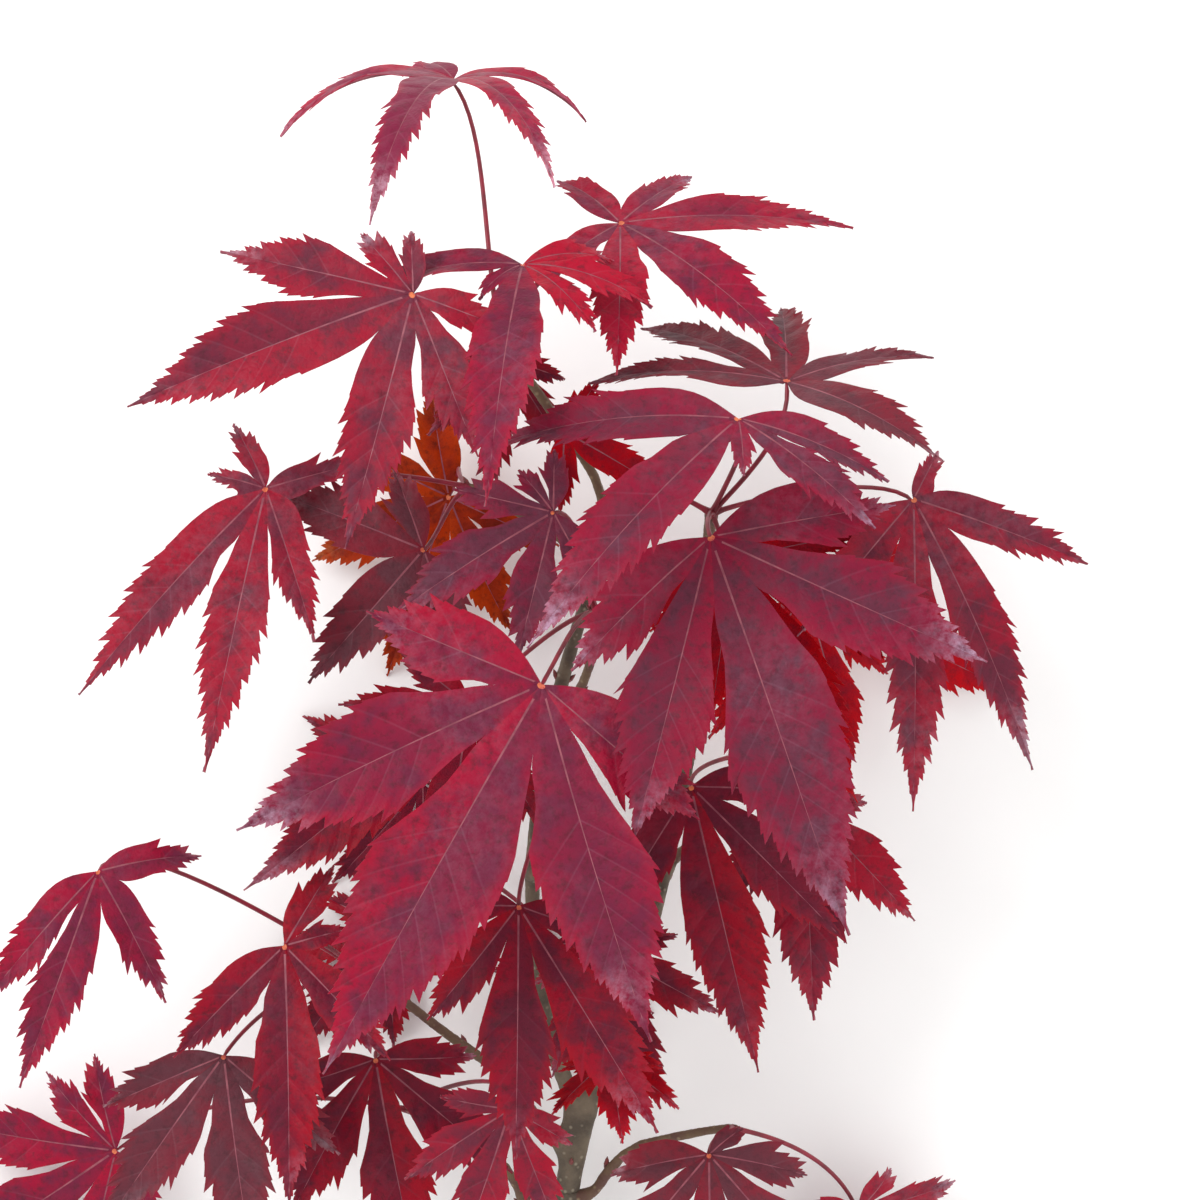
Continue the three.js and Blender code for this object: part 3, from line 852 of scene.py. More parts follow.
def round_body(curve: Curve, radii: np.ndarray, sides: int) -> Body:
    """A closed round body along a curve.

    Args:
        curve: its middle line.
        radii: its radius at even steps from one end to the other.
        sides: corners around it.

    Returns:
        The body.
    """
    shares = np.linspace(0, 1, len(radii))
    tangents = curve.tangent(shares)
    across = unit(np.cross(tangents[0], UP if abs(tangents[0] @ UP) < 0.9 else np.eye(3)[0]))
    angles = np.linspace(0, 2 * math.pi, sides, endpoint=False)
    rings = []
    for centre, tangent, radius in zip(curve.at(shares), tangents, radii):
        across = unit(across - tangent * (across @ tangent))
        upward = np.cross(tangent, across)
        rings.append(centre + radius * (np.outer(np.cos(angles), across)
                                        + np.outer(np.sin(angles), upward)))
    walls = grid_triangles(len(radii), sides, closed=True)[:, ::-1]
    fan = np.arange(1, sides - 1)
    foot = np.stack((np.zeros_like(fan), fan + 1, fan), -1)
    head = np.stack((np.zeros_like(fan), fan, fan + 1), -1) + (len(radii) - 1) * sides
    faces = np.concatenate((walls, foot, head))
    return Body(np.concatenate(rings), faces, np.zeros(len(faces), int))


# ---------------------------------------------------------------- leaves


@dataclass(frozen=True)
class Border:
    """A ray from the hub between two lobes, or behind an outer one."""

    turn: float
    length: float
    depth: float
    half_gap: float


@dataclass(frozen=True)
class Toothing:
    """How a lobe's edges are toothed: large teeth that each carry two or three small ones.

    Shares are of the lobe's length, heights and leads of a large tooth's pitch.
    """

    pitch: float = 5.6  # from one large tooth to the next, millimetres
    end: float = 0.93  # share at which the teeth stop
    least_count: int = 2
    three_small_from: float = 3.6  # pitch from which a large tooth carries three small ones
    rows: tuple[float, ...] = (0.12, 0.42, 0.72, 0.94)  # cross rows over a small tooth
    large_spread: tuple[float, float] = (0.5, 1.4)
    small_spread: tuple[float, float] = (0.5, 1.3)
    height: float = 0.3
    small_height: float = 0.13
    lead: float = 0.3
    small_lead: float = 0.5
    growth: tuple[float, float] = (0.02, 0.16)  # how early and over what share they grow
    strength: tuple[float, float] = (1.25, 0.75)  # at the hub, and what is lost by the tip
    fading: tuple[float, float, float] = (0.5, 0.72, 0.2)  # how much, from where, over what share

    def vigour(self, share: np.ndarray, start: float) -> np.ndarray:
        """How far the teeth are grown.

        Args:
            share: where along the lobe.
            start: where its teeth start.

        Returns:
            Their strength there.
        """
        early, over = self.growth
        full, lost = self.strength
        fade, fade_from, fade_over = self.fading
        grown = smoothstep((share - start + early) / over) * (full - lost * share)
        return grown * (1 - fade * smoothstep((share - fade_from) / fade_over))

    def lay(self, start: float, length: float, rng: np.random.Generator) -> tuple[np.ndarray, ...]:
        """Lays out the toothed stretch of a lobe.

        Args:
            start: where it starts.
            length: the lobe's length.
            rng: what makes the teeth uneven.

        Returns:
            Row by row the share of the length, how far the right and left edges stand out, how
            far they lead onward, and the place within a large tooth.
        """
        count = max(self.least_count, round((self.end - start) * length / self.pitch))
        pitch = (self.end - start) / count
        small = 3 if pitch * length > self.three_small_from else 2
        large_scales = rng.uniform(*self.large_spread, (count + 1, 2))
        small_scales = rng.uniform(*self.small_spread, (count * small, 2))
        place = np.arange(count * small)[:, None, None]
        within = np.array(self.rows)[:, None]
        side = np.arange(2)
        share = start + pitch * (place + within) / small
        vigour = self.vigour(share, start)
        tooth, part = np.divmod(place + side * (small - 1), small)
        large = large_scales[tooth, side]
        minor = small_scales[place, side] * within
        rise = self.height * large * ((part + within) / small - 0.5)
        rise = rise + self.small_height * (minor - 0.5)
        onward = large * (part + within) / small + self.small_lead * minor
        heights = vigour * pitch * length * rise
        leads = vigour * pitch * self.lead * onward
        phases = (place % small + within) / small
        return share.ravel(), heights.reshape(-1, 2), leads.reshape(-1, 2), phases.ravel()


@dataclass(frozen=True)
class LobeRows:
    """Cross rows of a lobe from the hub to its tip, with the teeth of its right and left edge."""

    shares: np.ndarray
    rays: np.ndarray
    heights: np.ndarray
    leads: np.ndarray
    phases: np.ndarray
    free: np.ndarray
    web: int


@dataclass(frozen=True)
class LobeLine:
    """A lobe's middle line, and how far it bows and twists."""

    turn: float
    reach: float
    length: float
    middle: np.ndarray
    bow: float
    twist: float


@dataclass(frozen=True)
class Flank:
    """One side of a lobe, row by row: its edge, the ray that it shares, and its half of the rib."""

    side: int
    sign: int
    edge_share: np.ndarray
    width: np.ndarray
    ray: np.ndarray
    webbed: np.ndarray
    rib: np.ndarray
    wave_start: float
    # painted shade of this half of the lobe, lit or shaded across the fold; below 0 it is painted
    # light
    dull: float
    bloom: float


@dataclass
class Blade:
    """One leaf's blade: lobes joined by a web at the hub, toothed, folded and drooping."""

    leaf: Leaf
    rng: np.random.Generator
    toothing: Toothing = Toothing()
    thickness: float = 0.34
    edge_thinning: float = 0.32  # what the edges lose of the thickness
    rib_width: float = 0.2
    rib_depth: float = 0.45
    rib_taper: float = 1.15  # share of the length at which the rib would end in a point
    widest_rib: float = 0.4  # share of the half width
    least_width: float = 0.05
    pillow: float = 0.32  # rise of the flesh between two veins
    pillow_level: float = 0.6
    wave: float = 0.7
    waves: float = 9.0  # radians over a lobe's length
    stiff_length: float = 12.0  # lobes of this length wave half as much as long ones
    most_bow: float = 0.05
    most_twist: float = 9.0
    web_rows: int = 4
    widest_web: float = 0.28  # share of a lobe's length
    plain_rows: int = 6  # cross rows between web and teeth, and again past the teeth
    hub_radius: float = 0.9
    free_from: float = 0.3  # share of the length at which a lobe is free of the web
    free_over: float = 0.06
    least_free: tuple[float, float] = (0.04, 0.05)  # least way from web to teeth, and to free
    slit_place: float = 0.08  # where past the web a slit opens between two lobes
    slit_length: float = 0.06
    slit_width: tuple[float, float] = (0.0, 0.5)
    widest_half_gap: float = 0.9  # radians
    tooth_hold: int = 4  # how close to the edge the teeth keep, and below, their lead
    lead_hold: int = 5
    vein_slant: float = 0.9  # how far onward a side vein meets the edge, for the half width
    vein_phase: float = 0.95  # place within a large tooth from which its side vein runs
    vein_fade: float = 0.7
    edge_from: float = 0.78  # share of the half width at which the vivid edge starts
    # The bloom towards the tips is partly a painted sheen.
    least_bloom: float = 0.06
    tip_bloom: tuple[float, float] = (0.1, 1.0)
    bloom_from: float = 0.68  # share of the length at which the bloom starts
    bloom_over: float = 0.3
    bloom_power: float = 1.3
    # Painted shade dealt to each flank, as if one half of a folded lobe were lit and the other shaded.
    painted_flank_shading: tuple[float, float] = (-0.6, 0.7)  # below 0 is vivid
    dull_core: float = 0.5  # how much duller a lobe is at its midrib than at its edges
    columns: tuple[float, ...] = (0.0, 0.22, 0.48, 0.74, 0.9, 1.0)
    marks: tuple[str, ...] = ("Vein", "BloomAndSheen", "PaintedShadeAndTone", "Edge")

    UPPER, LOWER, RIB, HUB = range(4)

    def arc(self, length: float, turn: float, share: np.ndarray) -> tuple[np.ndarray, ...]:
        """Points of a lobe's arc, in the leaf's own frame.

        Args:
            length: the arc's length.
            turn: its bearing from the middle lobe, radians.
            share: shares of its length.

        Returns:
            Points, upward normals, the direction to the left, and the run over the ground.
        """
        bend = math.radians(self.leaf.droop)
        start = -EARLY_RISE * bend
        angle = start + bend * share
        out = np.array((math.cos(turn), math.sin(turn), 0.0))
        run = length / bend * (np.sin(angle) - math.sin(start))
        rise = length / bend * (np.cos(angle) - math.cos(start))
        at = run[..., None] * out + rise[..., None] * UP
        normal = np.sin(angle)[..., None] * out + np.cos(angle)[..., None] * UP
        return at, normal, np.array((-out[1], out[0], 0.0)), run

    def borders(self) -> list[Border]:
        """Sets out the rays between lobes and the two heels.

        Returns:
            The rays from right to left.
        """
        lobes = self.leaf.lobes
        turns = [math.radians(turn) for turn, _ in lobes]
        heel = math.radians(HEEL_ANGLE)
        found = []
        for i in range(len(lobes) + 1):
            beside = [reach * self.leaf.size for _, reach in lobes[max(i - 1, 0):i + 1]]
            length = sum(beside) / len(beside)
            if 0 < i < len(lobes):
                found.append(Border((turns[i - 1] + turns[i]) / 2, length, SINUS_SHARE,
                                    (turns[i] - turns[i - 1]) / 2))
            else:
                turn = turns[0] - heel if i == 0 else turns[-1] + heel
                found.append(Border(turn, length, HEEL_SHARE, math.pi / 2))
        return found

    def hub_reach(self, depth: float) -> float:
        """How far the hub's disc reaches where the web is that deep."""
        return min(self.hub_radius, 0.5 * depth / self.web_rows)

    def rows(self, length: float, borders: Sequence[Border]) -> LobeRows:
        """Lays out a lobe's cross rows.

        Args:
            length: the lobe's length.
            borders: the rays at its right and left.

        Returns:
            The rows.
        """
        depths = [border.length * border.depth for border in borders]
        web = min(self.widest_web, sum(depths) / 2 / length)
        steps = np.arange(1, self.web_rows + 1) / self.web_rows
        rays = [[0.0, self.hub_reach(depth) / border.length, *(border.depth * steps)]
                for border, depth in zip(borders, depths)]
        least_plain, least_over = self.least_free
        plain = np.linspace(web, max(self.free_from, web + least_plain), self.plain_rows)[1:]
        head = [0.0, self.hub_reach(web * length) / length, *(web * steps), *plain]
        toothed, heights, leads, phases = self.toothing.lay(head[-1], length, self.rng)
        tip = np.linspace(self.toothing.end, 1.0, self.plain_rows)[1:]
        shares = np.concatenate((head, toothed, tip))
        around = (len(head), len(tip))
        free = (shares - web) / max(self.free_from + self.free_over - web, least_over)
        return LobeRows(shares, np.array(rays).T, np.pad(heights, (around, (0, 0))),
                        np.pad(leads, (around, (0, 0))), np.pad(phases, around, constant_values=0.5),
                        smoothstep(free), self.web_rows + 1)

    def half_width(self, share: np.ndarray, lobe: LobeLine) -> np.ndarray:
        """Half the width of a lobe without its teeth.

        Args:
            share: shares of its length.
            lobe: the lobe.

        Returns:
            The half width at each share.
        """
        rise = TAPER * WIDEST / (1 - WIDEST)
        profile = (share / WIDEST) ** rise * ((1 - share) / (1 - WIDEST)) ** TAPER
        spread = 1 - SMALL_LOBE_BREADTH + SMALL_LOBE_BREADTH / max(lobe.reach, LEAST_REACH)
        return self.leaf.breadth * spread * lobe.length * profile

    def flank(self, side: int, border: Border, rows: LobeRows, lobe: LobeLine) -> Flank:
        """One side of a lobe.

        Args:
            side: 0 for the right, 1 for the left.
            border: the ray that this side shares with its neighbour, or the heel's.
            rows: the lobe's rows.
            lobe: the lobe's middle line.

        Returns:
            The flank.
        """
        slant = self.vein_slant * self.half_width(rows.shares, lobe) / lobe.length
        edge_share = np.minimum(rows.shares + rows.free * slant, 1.0)
        width = self.half_width(edge_share, lobe)
        if border.half_gap < math.pi / 2:
            run = self.arc(lobe.length, lobe.turn, edge_share)[3]
            slit = np.exp(-((rows.shares - border.depth - self.slit_place) / self.slit_length) ** 2)
            room = NEIGHBOUR_ROOM - self.rng.uniform(*self.slit_width) * slit
            width = np.minimum(width, run * math.tan(border.half_gap) * room)
        gap = math.cos(min(border.half_gap, self.widest_half_gap))
        onward = lobe.length / (border.length * gap)
        ray_share = border.depth + (rows.shares - rows.shares[rows.web]) * onward
        ray_share[:rows.web + 1] = rows.rays[:, side]
        ray = self.arc(border.length, border.turn, np.minimum(ray_share, 1.0))[0]
        webbed = np.linalg.norm(ray - lobe.middle, axis=1)
        whole = np.maximum(webbed * (1 - rows.free) + width * rows.free, self.least_width)
        rib = np.minimum(self.widest_rib, self.rib_width * (self.rib_taper - rows.shares) / whole)
        return Flank(side, 2 * side - 1, edge_share, width, ray, webbed, rib,
                     self.rng.uniform(0, 2 * math.pi), self.rng.uniform(*self.painted_flank_shading),
                     self.rng.uniform(*self.tip_bloom))

    def lobe(self, index: int, borders: Sequence[Border]) -> dict[str, np.ndarray]:
        """One lobe as a grid: rows from the hub to the tip, columns from right to left.

        Args:
            index: which lobe, from the right.
            borders: rays at its right and left.

        Returns:
            Points, flat places, marks and the share of the way to the edge, each as a grid.
        """
        turn, reach = self.leaf.lobes[index]
        length = reach * self.leaf.size
        rows = self.rows(length, borders)
        middle = self.arc(length, math.radians(turn), rows.shares)[0]
        lobe = LobeLine(math.radians(turn), reach, length, middle,
                        self.rng.uniform(-self.most_bow, self.most_bow) * length,
                        math.radians(self.rng.uniform(-self.most_twist, self.most_twist)))
        right, left = (self.flank(side, borders[side], rows, lobe) for side in (0, 1))
        # Lobes that the leaf lists get their painted shade set on both flanks instead of dealt.
        lobe_shade_and_tone = dict(self.leaf.lobe_shade_and_tone)
        if index in lobe_shade_and_tone:
            right, left = (replace(flank, dull=lobe_shade_and_tone[index]) for flank in (right, left))
        outs = [(flank, flank.rib + (1 - flank.rib) * column)
                for flank, column in [*((right, c) for c in reversed(self.columns)),
                                      *((left, c) for c in self.columns)]]
        outs.insert(len(self.columns), (left, np.zeros_like(rows.shares)))
        grids = [self.column(flank, out, rows, lobe) for flank, out in outs]
        return {name: np.stack([grid[name] for grid in grids], axis=1) for name in grids[0]}

    def column(self, flank: Flank, out: np.ndarray, rows: LobeRows,
               lobe: LobeLine) -> dict[str, np.ndarray]:
        """One column of a lobe's grid.

        Args:
            flank: the side that it lies on.
            out: how far from the midrib to the edge it lies, row by row.
            rows: the lobe's rows.
            lobe: the lobe's middle line.

        Returns:
            Its points, flat places and marks.
        """
        sign, free = flank.sign, rows.free
        share = (rows.shares + (flank.edge_share - rows.shares) * out
                 + rows.leads[:, flank.side] * out ** self.lead_hold)
        at, normal, leftward, _ = self.arc(lobe.length, lobe.turn, share)
        turned = lobe.twist * free
        sideways = leftward * np.cos(turned)[:, None] + normal * np.sin(turned)[:, None]
        teeth = rows.heights[:, flank.side] * out ** self.tooth_hold
        lateral = sign * (flank.width * out + teeth)
        bowed = lobe.bow * np.clip(share - rows.shares[rows.web], 0, 1) ** 2
        hollow = 4 * out * (1 - out)
        quilted = self.pillow * (np.sin(math.pi * rows.phases) - self.pillow_level) * hollow
        waved = self.wave * out ** 2 * np.sin(flank.wave_start + self.waves * share)
        limp = lobe.length / (lobe.length + self.stiff_length)
        lift = FOLD * flank.width * out + (quilted + waved) * free * limp
        own = (at + sideways * lateral[:, None] + leftward * bowed[:, None]
               + normal * lift[:, None])
        webbed = lobe.middle * (1 - out)[:, None] + flank.ray * out[:, None]
        onward = np.array((math.cos(lobe.turn), math.sin(lobe.turn)))
        spread = sign * flank.webbed * out * (1 - free) + lateral * free
        flat = (share * lobe.length)[:, None] * onward
        bloom = smoothstep((share - self.bloom_from) / self.bloom_over) ** self.bloom_power
        return {
            "points": webbed * (1 - free)[:, None] + own * free[:, None],
            "flat": flat + spread[:, None] * np.array((-onward[1], onward[0])),
            "Vein": (rows.phases > self.vein_phase) * free * (1 - self.vein_fade * out),
            "BloomAndSheen": self.least_bloom + flank.bloom * bloom,
            # painted shade of this flank's half of the fold, with the real duller tone along the
            # midrib
            "PaintedShadeAndTone": flank.dull + self.dull_core * (0.5 - out),
            "Edge": smoothstep((out - self.edge_from) / (1 - self.edge_from)) * free,
            "out": out,
        }

    def sheet(self) -> tuple[dict[str, np.ndarray], np.ndarray, np.ndarray, np.ndarray]:
        """Joins the lobes to the blade's middle sheet.

        Returns:
            The welded corners' marks, the faces, their finishes and their corners' flat places.
        """
        borders = self.borders()
        grids = [self.lobe(i, borders[i:i + 2]) for i in range(len(self.leaf.lobes))]
        faces, finishes, count = [], [], 0
        for grid in grids:
            rows, columns = grid["out"].shape
            faces.append(grid_triangles(rows, columns) + count)
            row, column = np.divmod(np.arange(2 * (rows - 1) * (columns - 1)) // 2, columns - 1)
            on_rib = np.isin(column, (columns // 2 - 1, columns // 2)) & (row > 1)
            finishes.append(np.where(row == 0, self.HUB, np.where(on_rib, self.RIB, self.UPPER)))
            count += rows * columns
        loose = {name: np.concatenate([grid[name].reshape(-1, *grid[name].shape[2:])
                                       for grid in grids]) for name in grids[0]}
        _, first, weld = np.unique(np.round(loose["points"], 4), axis=0,
                                   return_index=True, return_inverse=True)
        corner = np.concatenate(faces)
        welded = weld.ravel()[corner]
        whole = (welded != np.roll(welded, 1, axis=1)).all(axis=1)
        marks = {name: values[first] for name, values in loose.items()}
        return marks, welded[whole], np.concatenate(finishes)[whole], loose["flat"][corner[whole]]

    def rim(self, faces: np.ndarray, count: int) -> np.ndarray:
        """Closes a sheet's edge to its underside.

        Args:
            faces: the sheet's faces.
            count: how many corners it has, which its underside's corners follow.

        Returns:
            The faces of the rim.
        """
        edges = np.concatenate([faces[:, (k, (k + 1) % 3)] for k in range(3)])
        forth, back = edges @ (count, 1), edges @ (1, count)
        p, q = edges[~np.isin(forth, back)].T
        return np.concatenate((np.stack((q, p, p + count), -1),
                               np.stack((q, p + count, q + count), -1)))

    def body(self) -> Body:
        """Thickens the sheet to a closed body.

        Returns:
            The body, with the hub at the origin and the middle lobe along +X.
        """
        marks, faces, finishes, flat = self.sheet()
        corners, count = marks["points"], len(marks["points"])
        a, b, c = (corners[faces[:, k]] for k in range(3))
        normals = np.zeros_like(corners)
        for k in range(3):
            np.add.at(normals, faces[:, k], np.cross(b - a, c - a))
        normals = unit(normals)
        thick = self.thickness * (0.5 - self.edge_thinning * marks["out"][:, None] ** 3)
        ridge = self.rib_depth * ((marks["out"] == 0) * (1 - marks["BloomAndSheen"]))[:, None]
        rim = self.rim(faces, count)
        below = np.where(finishes == self.RIB, self.RIB, self.LOWER)
        spots = np.zeros((count, 2))
        spots[faces.ravel()] = flat.reshape(-1, 2)
        places = np.concatenate((flat, flat[:, ::-1], spots[rim % count])).reshape(-1, 2)
        sheets = np.zeros(len(places))
        sheets[3 * len(faces):6 * len(faces)] = 1
        return Body(
            np.concatenate((corners + normals * thick, corners - normals * (thick + ridge))),
            np.concatenate((faces, faces[:, ::-1] + count, rim)),
            np.concatenate((finishes, below, np.full(len(rim), self.UPPER))),
            {name: np.tile(marks[name], 2) for name in self.marks},
            np.column_stack((places, sheets)),
        )


@dataclass
class SprayBuilder:
    """One spray: its leaves as a joined piece and its stalks as another."""

    name: str
    spray: Spray
    shoot: Curve
    offset: np.ndarray
    palette: Palette
    first_seed: int
    stalk_radius: float = 0.52
    stalk_sides: int = 8
    stalk_steps: int = 18
    stalk_taper: float = 0.2
    stalk_root: float = 0.5  # how deep in the node a stalk starts
    foot_swelling: tuple[float, float] = (0.75, 1.6)  # how much, and over what length
    head_swelling: tuple[float, float] = (0.25, 1.4)
    head_tuck: float = 0.45  # share of the radius that its very end keeps
    rest: float = 0.05  # clear height of a leaf that lies on the ground

    def leaf(self, leaf: Leaf, seed: int) -> tuple[Body, np.ndarray, np.ndarray]:
        """Turns a leaf's blade and puts it in its place.

        Args:
            leaf: the leaf.
            seed: seed of its own small irregularities.

        Returns:
            The blade's body, its hub and the matrix that turned it.
        """
        lean = math.radians(leaf.lean)
        hinge = np.array((-math.sin(lean), math.cos(lean), 0.0))
        turn = turn_about(hinge, leaf.tilt) @ turn_about(UP, leaf.heading)
        body = Blade(leaf, np.random.default_rng(seed)).body()
        body.corners = body.corners @ turn.T
        ground = self.rest - body.corners[:, 2].min()
        hub = np.array((*leaf.hub[:2], leaf.hub[2] if len(leaf.hub) > 2 else ground))
        body.corners = body.corners + hub
        return body, hub, turn

    def stalk(self, hub: np.ndarray, turn: np.ndarray) -> Body:
        """A leaf's stalk, from the spray's node to the underside of the hub.

        Args:
            hub: where the blade's lobes meet.
            turn: the matrix that turned the blade.

        Returns:
            The stalk's body, swollen where it clasps the node and where it meets the blade.
        """
        forward, normal = turn[:, 0], turn[:, 2]
        node = np.array(self.spray.node, float)
        growth = self.shoot.tangent(1.0)
        end = hub + forward * STALK_SEAT[0] - normal * STALK_SEAT[1]
        reach = np.linalg.norm(end - node)
        arrival = unit(-forward * STALK_ARRIVAL[0] - normal * STALK_ARRIVAL[1])
        bend = end + arrival * STALK_REACH[1] * reach
        parting = unit(bend - node) * STALK_PARTING[0] + growth * STALK_PARTING[1]
        root = node - growth * self.stalk_root
        curve = bezier([root, node + parting * STALK_REACH[0] * reach, bend, end])
        run = np.linspace(0, 1, self.stalk_steps + 1) * curve.length
        swellings = ((run, self.foot_swelling), (curve.length - run, self.head_swelling))
        foot, head = (swell * np.exp(-((far / over) ** 2)) for far, (swell, over) in swellings)
        radii = self.stalk_radius * (1 - self.stalk_taper * run / curve.length) * (1 + foot + head)
        radii[-1] *= self.head_tuck
        return round_body(curve, radii, self.stalk_sides)

    def build(self) -> list[bpy.types.Object]:
        """Builds the spray.

        Returns:
            The leaves and the stalks.
        """
        leaves, stalks = Heap(), Heap()
        tints = list(dict.fromkeys(leaf.tint for leaf in self.spray.leaves))
        across = math.ceil(math.sqrt(2 * len(self.spray.leaves)))
        for number, leaf in enumerate(self.spray.leaves):
            body, hub, turn = self.leaf(leaf, self.first_seed + number)
            base, details = 2 * tints.index(leaf.tint), 2 * len(tints)
            body.finishes = np.array((base, base + 1, details, details + 1))[body.finishes]
            flat, sheet = np.split(body.layout, [2], axis=1)
            cell = 2 * number + sheet
            corner = np.concatenate((cell % across, cell // across), axis=1)
            body.layout = (corner + 0.5 + flat / (LAYOUT_REACH * leaf.size)) / across
            leaves.bodies.append(body)
            stalks.bodies.append(self.stalk(hub, turn))
        finishes = [made for tint in tints for made in self.palette.tints[tint]]
        foliage = leaves.piece(f"leaves_{self.name}", [*finishes, *self.palette.details], self.offset)
        holders = stalks.piece(f"stalks_{self.name}", [self.palette.stalk], self.offset)
        node = f"spray_{self.name}"
        return [settle(foliage, [node]), settle(holders, [node])]


# ---------------------------------------------------------------- wood


@dataclass
class Joint:
    """One point of the wood's skeleton: its place, its girth, its bark and the joint before it."""

    place: np.ndarray
    radius: float
    bark: int
    parent: int


@dataclass
class Buds:
    """Opposite pairs of small pointed buds at the nodes of limbs and sprays, as one piece."""

    curves: dict[str, Curve]
    shoots: dict[str, Curve]
    offset: np.ndarray
    length: float = 2.6
    girth: float = 0.72
    least_girth: float = 0.05
    opening: float = 34.0  # degrees between a bud and its limb
    seat: float = 0.8  # how far out of the limb's middle a bud sits, in its radii
    sides: int = 10
    scales: int = 3
    scale_rows: int = 6
    lap: float = 0.12  # what a scale's tip stands out over the next one's foot
    belly: tuple[float, float] = (0.22, 0.8)  # where the outline starts, and how full it is
    slimming: float = 0.25
    spread: tuple[float, float] = (0.8, 1.1)
    bare_tip: float = 4.0  # length of a limb's tip that bears no buds
    limb_size: float = 0.9
    shoot_size: float = 0.8
    shoot_place: float = 0.97
    shoot_girth: float = 0.6
    rng: np.random.Generator = field(default_factory=lambda: np.random.default_rng(7))

    def bud(self, foot: np.ndarray, heading: np.ndarray, size: float) -> Body:
        """One bud of overlapping scales.

        Args:
            foot: where it sits.
            heading: where it points.
            size: its share of the full size.

        Returns:
            The bud's body.
        """
        reach = np.linspace(0, 1, self.scale_rows * self.scales)
        start, fullness = self.belly
        outline = np.sin(math.pi * (start + (1 - start) * reach)) ** fullness
        lapped = 1 - self.lap * ((reach * self.scales) % 1)
        girth = self.girth * size * outline * (1 - self.slimming * reach) * lapped
        tip = foot + heading * self.length * size
        middle = bezier([foot, (foot + tip) / 2, tip], 12)
        return round_body(middle, np.maximum(girth, self.least_girth), self.sides)

    def pair(self, centre: np.ndarray, along: np.ndarray, radius: float, size: float) -> list[Body]:
        """Two buds on opposite sides of a node.

        Args:
            centre: the node's middle.
            along: where the limb grows.
            radius: the limb's radius there.
            size: share of the full size.

        Returns:
            Their bodies.
        """
        turn = turn_about(along, self.rng.uniform(0, 180))
        aside = turn @ unit(np.cross(along, UP + 0.01))
        lean = math.radians(self.opening)
        return [self.bud(centre + way * aside * radius * self.seat,
                         along * math.cos(lean) + way * aside * math.sin(lean),
                         size * self.rng.uniform(*self.spread)) for way in (-1, 1)]

    def build(self) -> bpy.types.Object:
        """Builds the piece.

        Returns:
            The buds.
        """
        heap = Heap()
        for name, curve in self.curves.items():
            for run in np.arange(NODE_SPACING / 2, curve.length - self.bare_tip, NODE_SPACING):
                share = run / curve.length
                radius = LIMBS[name].radius(share)
                heap.bodies += self.pair(curve.at(share), curve.tangent(share), radius, self.limb_size)
        for name, shoot in self.shoots.items():
            radius = LIMBS[SPRAYS[name].limb].radius(1) * self.shoot_girth
            place = shoot.at(self.shoot_place)
            heap.bodies += self.pair(place, shoot.tangent(1.0), radius, self.shoot_size)
        return settle(heap.piece("buds", [BUD.material()], self.offset), list(LIMBS))


